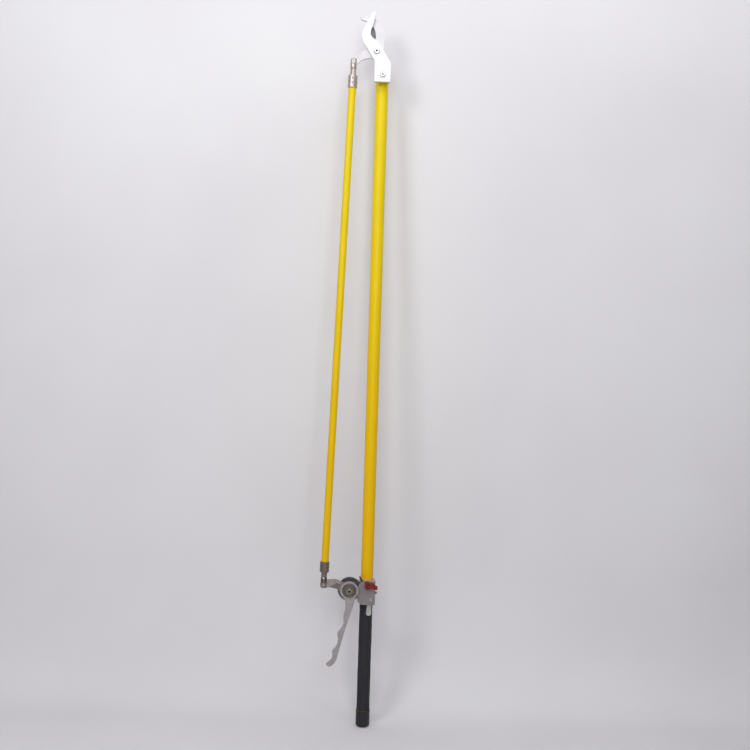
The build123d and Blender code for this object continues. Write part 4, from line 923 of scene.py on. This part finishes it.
def buildFerruleScrews():
    # socket set screws in the ferrules of both clevises, each set where its CAD solid is
    work = bmesh.new()
    radius, key, tall = ferruleScrews["radius"], ferruleScrews["key"], ferruleScrews["tall"]
    ease, floor = ferruleScrews["ease"], ferruleScrews["deep"] - tall
    profile = ((0.0, 0.0), (radius, 0.0), (radius, ease - tall), (radius - ease, -tall),
               (key, -tall), (key, floor), (0.0, floor))
    lathe(work, profile, ferruleScrews["facets"])
    form = formFromBmesh("setScrewForm", work)
    source = nodes["ferrule_screws"].data
    back = max(v.co.y for v in source.vertices)
    clusters = []
    for z in sorted({round(v.co.z, 4) for v in source.vertices}):
        if not clusters or z - clusters[-1][-1] > ferruleScrews["apart"]:
            clusters.append([z])
        else:
            clusters[-1].append(z)
    points = []
    for cluster in clusters:
        foot, top = cluster[0] - ferruleScrews["band"], cluster[-1] + ferruleScrews["band"]
        xs = [v.co.x for v in source.vertices if foot <= v.co.z <= top]
        points.append(((min(xs) + max(xs)) / 2, back, (cluster[0] + cluster[-1]) / 2))
    piece = repeated("ferruleScrews", form, points, "nubBlack")
    smoothByAngle(piece, ferruleScrews["crease"])
    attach(piece, "rod")
    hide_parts("ferrule_screws")


buildRatchetWheel()
buildDriveDisc()
buildClampScrews()
buildFerruleScrews()
buildGrip()
print("repeats made: teeth, disc sectors, clamp screws, set screws; grip sleeve turned")

# stage, camera and lights

# places in the sheet's profile are pairs of y and z
backdrop = {"half": 3.2, "floor": -0.0006, "front": -3.4, "foot": 0.03, "bend": 0.222,
            "bendSteps": 24, "wallFoot": (0.2, 0.36), "wallTop": (-0.06, 3.2), "rough": 0.95,
            "mottle": 1.6, "tones": ("#e4e3e6", "#dddbdf")}


def buildBackdrop():
    # seamless sheet: floor, a soft cove behind the butt, then a wall that leans in a little
    floor = backdrop["floor"]
    profile = [(backdrop["front"], floor), (backdrop["foot"], floor)]
    start, bend = Vector(profile[-1]), Vector((backdrop["bend"], floor))
    end = Vector(backdrop["wallFoot"])
    for i in range(1, backdrop["bendSteps"] + 1):
        t = i / backdrop["bendSteps"]
        p = start * (1 - t) ** 2 + bend * 2 * t * (1 - t) + end * t * t
        profile.append((p.x, p.y))
    profile.append(backdrop["wallTop"])
    work = bmesh.new()
    sides = (-backdrop["half"], backdrop["half"])
    rows = [[work.verts.new((x, y, z)) for x in sides] for y, z in profile]
    for one, two in zip(rows, rows[1:]):
        work.faces.new((one[0], one[1], two[1], two[0]))
    piece = newPiece("backdrop", meshOf("backdrop", work))
    piece.data.shade_smooth()
    material = bpy.data.materials.new("paperWall")
    material.use_nodes = True
    tree = material.node_tree
    shader = tree.nodes["Principled BSDF"]
    shader.inputs["Roughness"].default_value = backdrop["rough"]
    place = tree.nodes.new("ShaderNodeTexCoord").outputs["Object"]
    noise = noiseNode(tree, place, backdrop["mottle"], detail=3.0)
    mottled = rangeNode(tree, noise, low=0.3, high=0.7)
    paper = mixNode(tree, mottled, *(linear(tone) for tone in backdrop["tones"]))
    tree.links.new(paper, shader.inputs["Base Color"])
    clear = tree.nodes.new("ShaderNodeBsdfTransparent")
    side = tree.nodes.new("ShaderNodeNewGeometry")
    mix = tree.nodes.new("ShaderNodeMixShader")
    tree.links.new(side.outputs["Backfacing"], mix.inputs[0])
    tree.links.new(shader.outputs[0], mix.inputs[1])
    tree.links.new(clear.outputs[0], mix.inputs[2])
    tree.links.new(mix.outputs[0], tree.nodes["Material Output"].inputs["Surface"])
    piece.data.materials.append(material)


lamps = {
    "keyPanel": {
        "place": (-1.2, -1.8, 2.1), "target": (0.0, 0.0, 1.1), "size": (0.6, 0.6), "power": 14},
    "topPanel": {
        "place": (0.35, -1.3, 2.9), "target": (0.1, 0.0, 1.3), "size": (2.6, 1.0), "power": 25},
    "frontPanel": {
        "place": (0.1, -3.6, 1.9), "target": (0.0, 0.0, 0.95), "size": (2.0, 1.6), "power": 50},
}


def addArea(name, place, target, size, power):
    light = bpy.data.lights.new(name, "AREA")
    light.shape = "RECTANGLE"
    light.size, light.size_y = size
    light.energy = power
    lamp = bpy.data.objects.new(name, light)
    lamp.location = place
    lamp.rotation_euler = (Vector(target) - Vector(place)).to_track_quat("-Z", "Y").to_euler()
    bpy.context.scene.collection.objects.link(lamp)


# angles in radians, focal length and picture in pixels, sensor in millimetres
view = {"place": (-0.0222, -2.3991, 0.9023), "pitch": 0.0014, "yaw": 0.0113, "roll": 0.0308,
        "focal": 928.7, "picture": 750, "sensor": 36}


def buildCamera():
    # fitted to points measured along the tool in the photograph
    sy, cy = math.sin(view["yaw"]), math.cos(view["yaw"])
    sp, cp = math.sin(view["pitch"]), math.cos(view["pitch"])
    sr, cr = math.sin(view["roll"]), math.cos(view["roll"])
    forward = Vector((sy * cp, cy * cp, sp))
    right0, up0 = Vector((cy, -sy, 0)), Vector((-sy * sp, -cy * sp, cp))
    right, up = right0 * cr + up0 * sr, -right0 * sr + up0 * cr
    data = bpy.data.cameras.new("photoView")
    data.sensor_width = view["sensor"]
    data.lens = view["focal"] / view["picture"] * view["sensor"]
    camera = bpy.data.objects.new("photoView", data)
    matrix = Matrix((right, up, -forward)).transposed().to_4x4()
    matrix.translation = view["place"]
    camera.matrix_world = matrix
    bpy.context.scene.collection.objects.link(camera)
    bpy.context.scene.camera = camera


sky = {"Color": (0.93, 0.93, 0.95, 1), "Strength": 0.08}

buildBackdrop()
for lampName, lamp in lamps.items():
    addArea(lampName, **lamp)
world = bpy.data.worlds.new("studio")
world.use_nodes = True
for label, value in sky.items():
    world.node_tree.nodes["Background"].inputs[label].default_value = value
bpy.context.scene.world = world
buildCamera()
bpy.context.scene.view_settings.view_transform = "Standard"
print("stage, lamps and camera set")
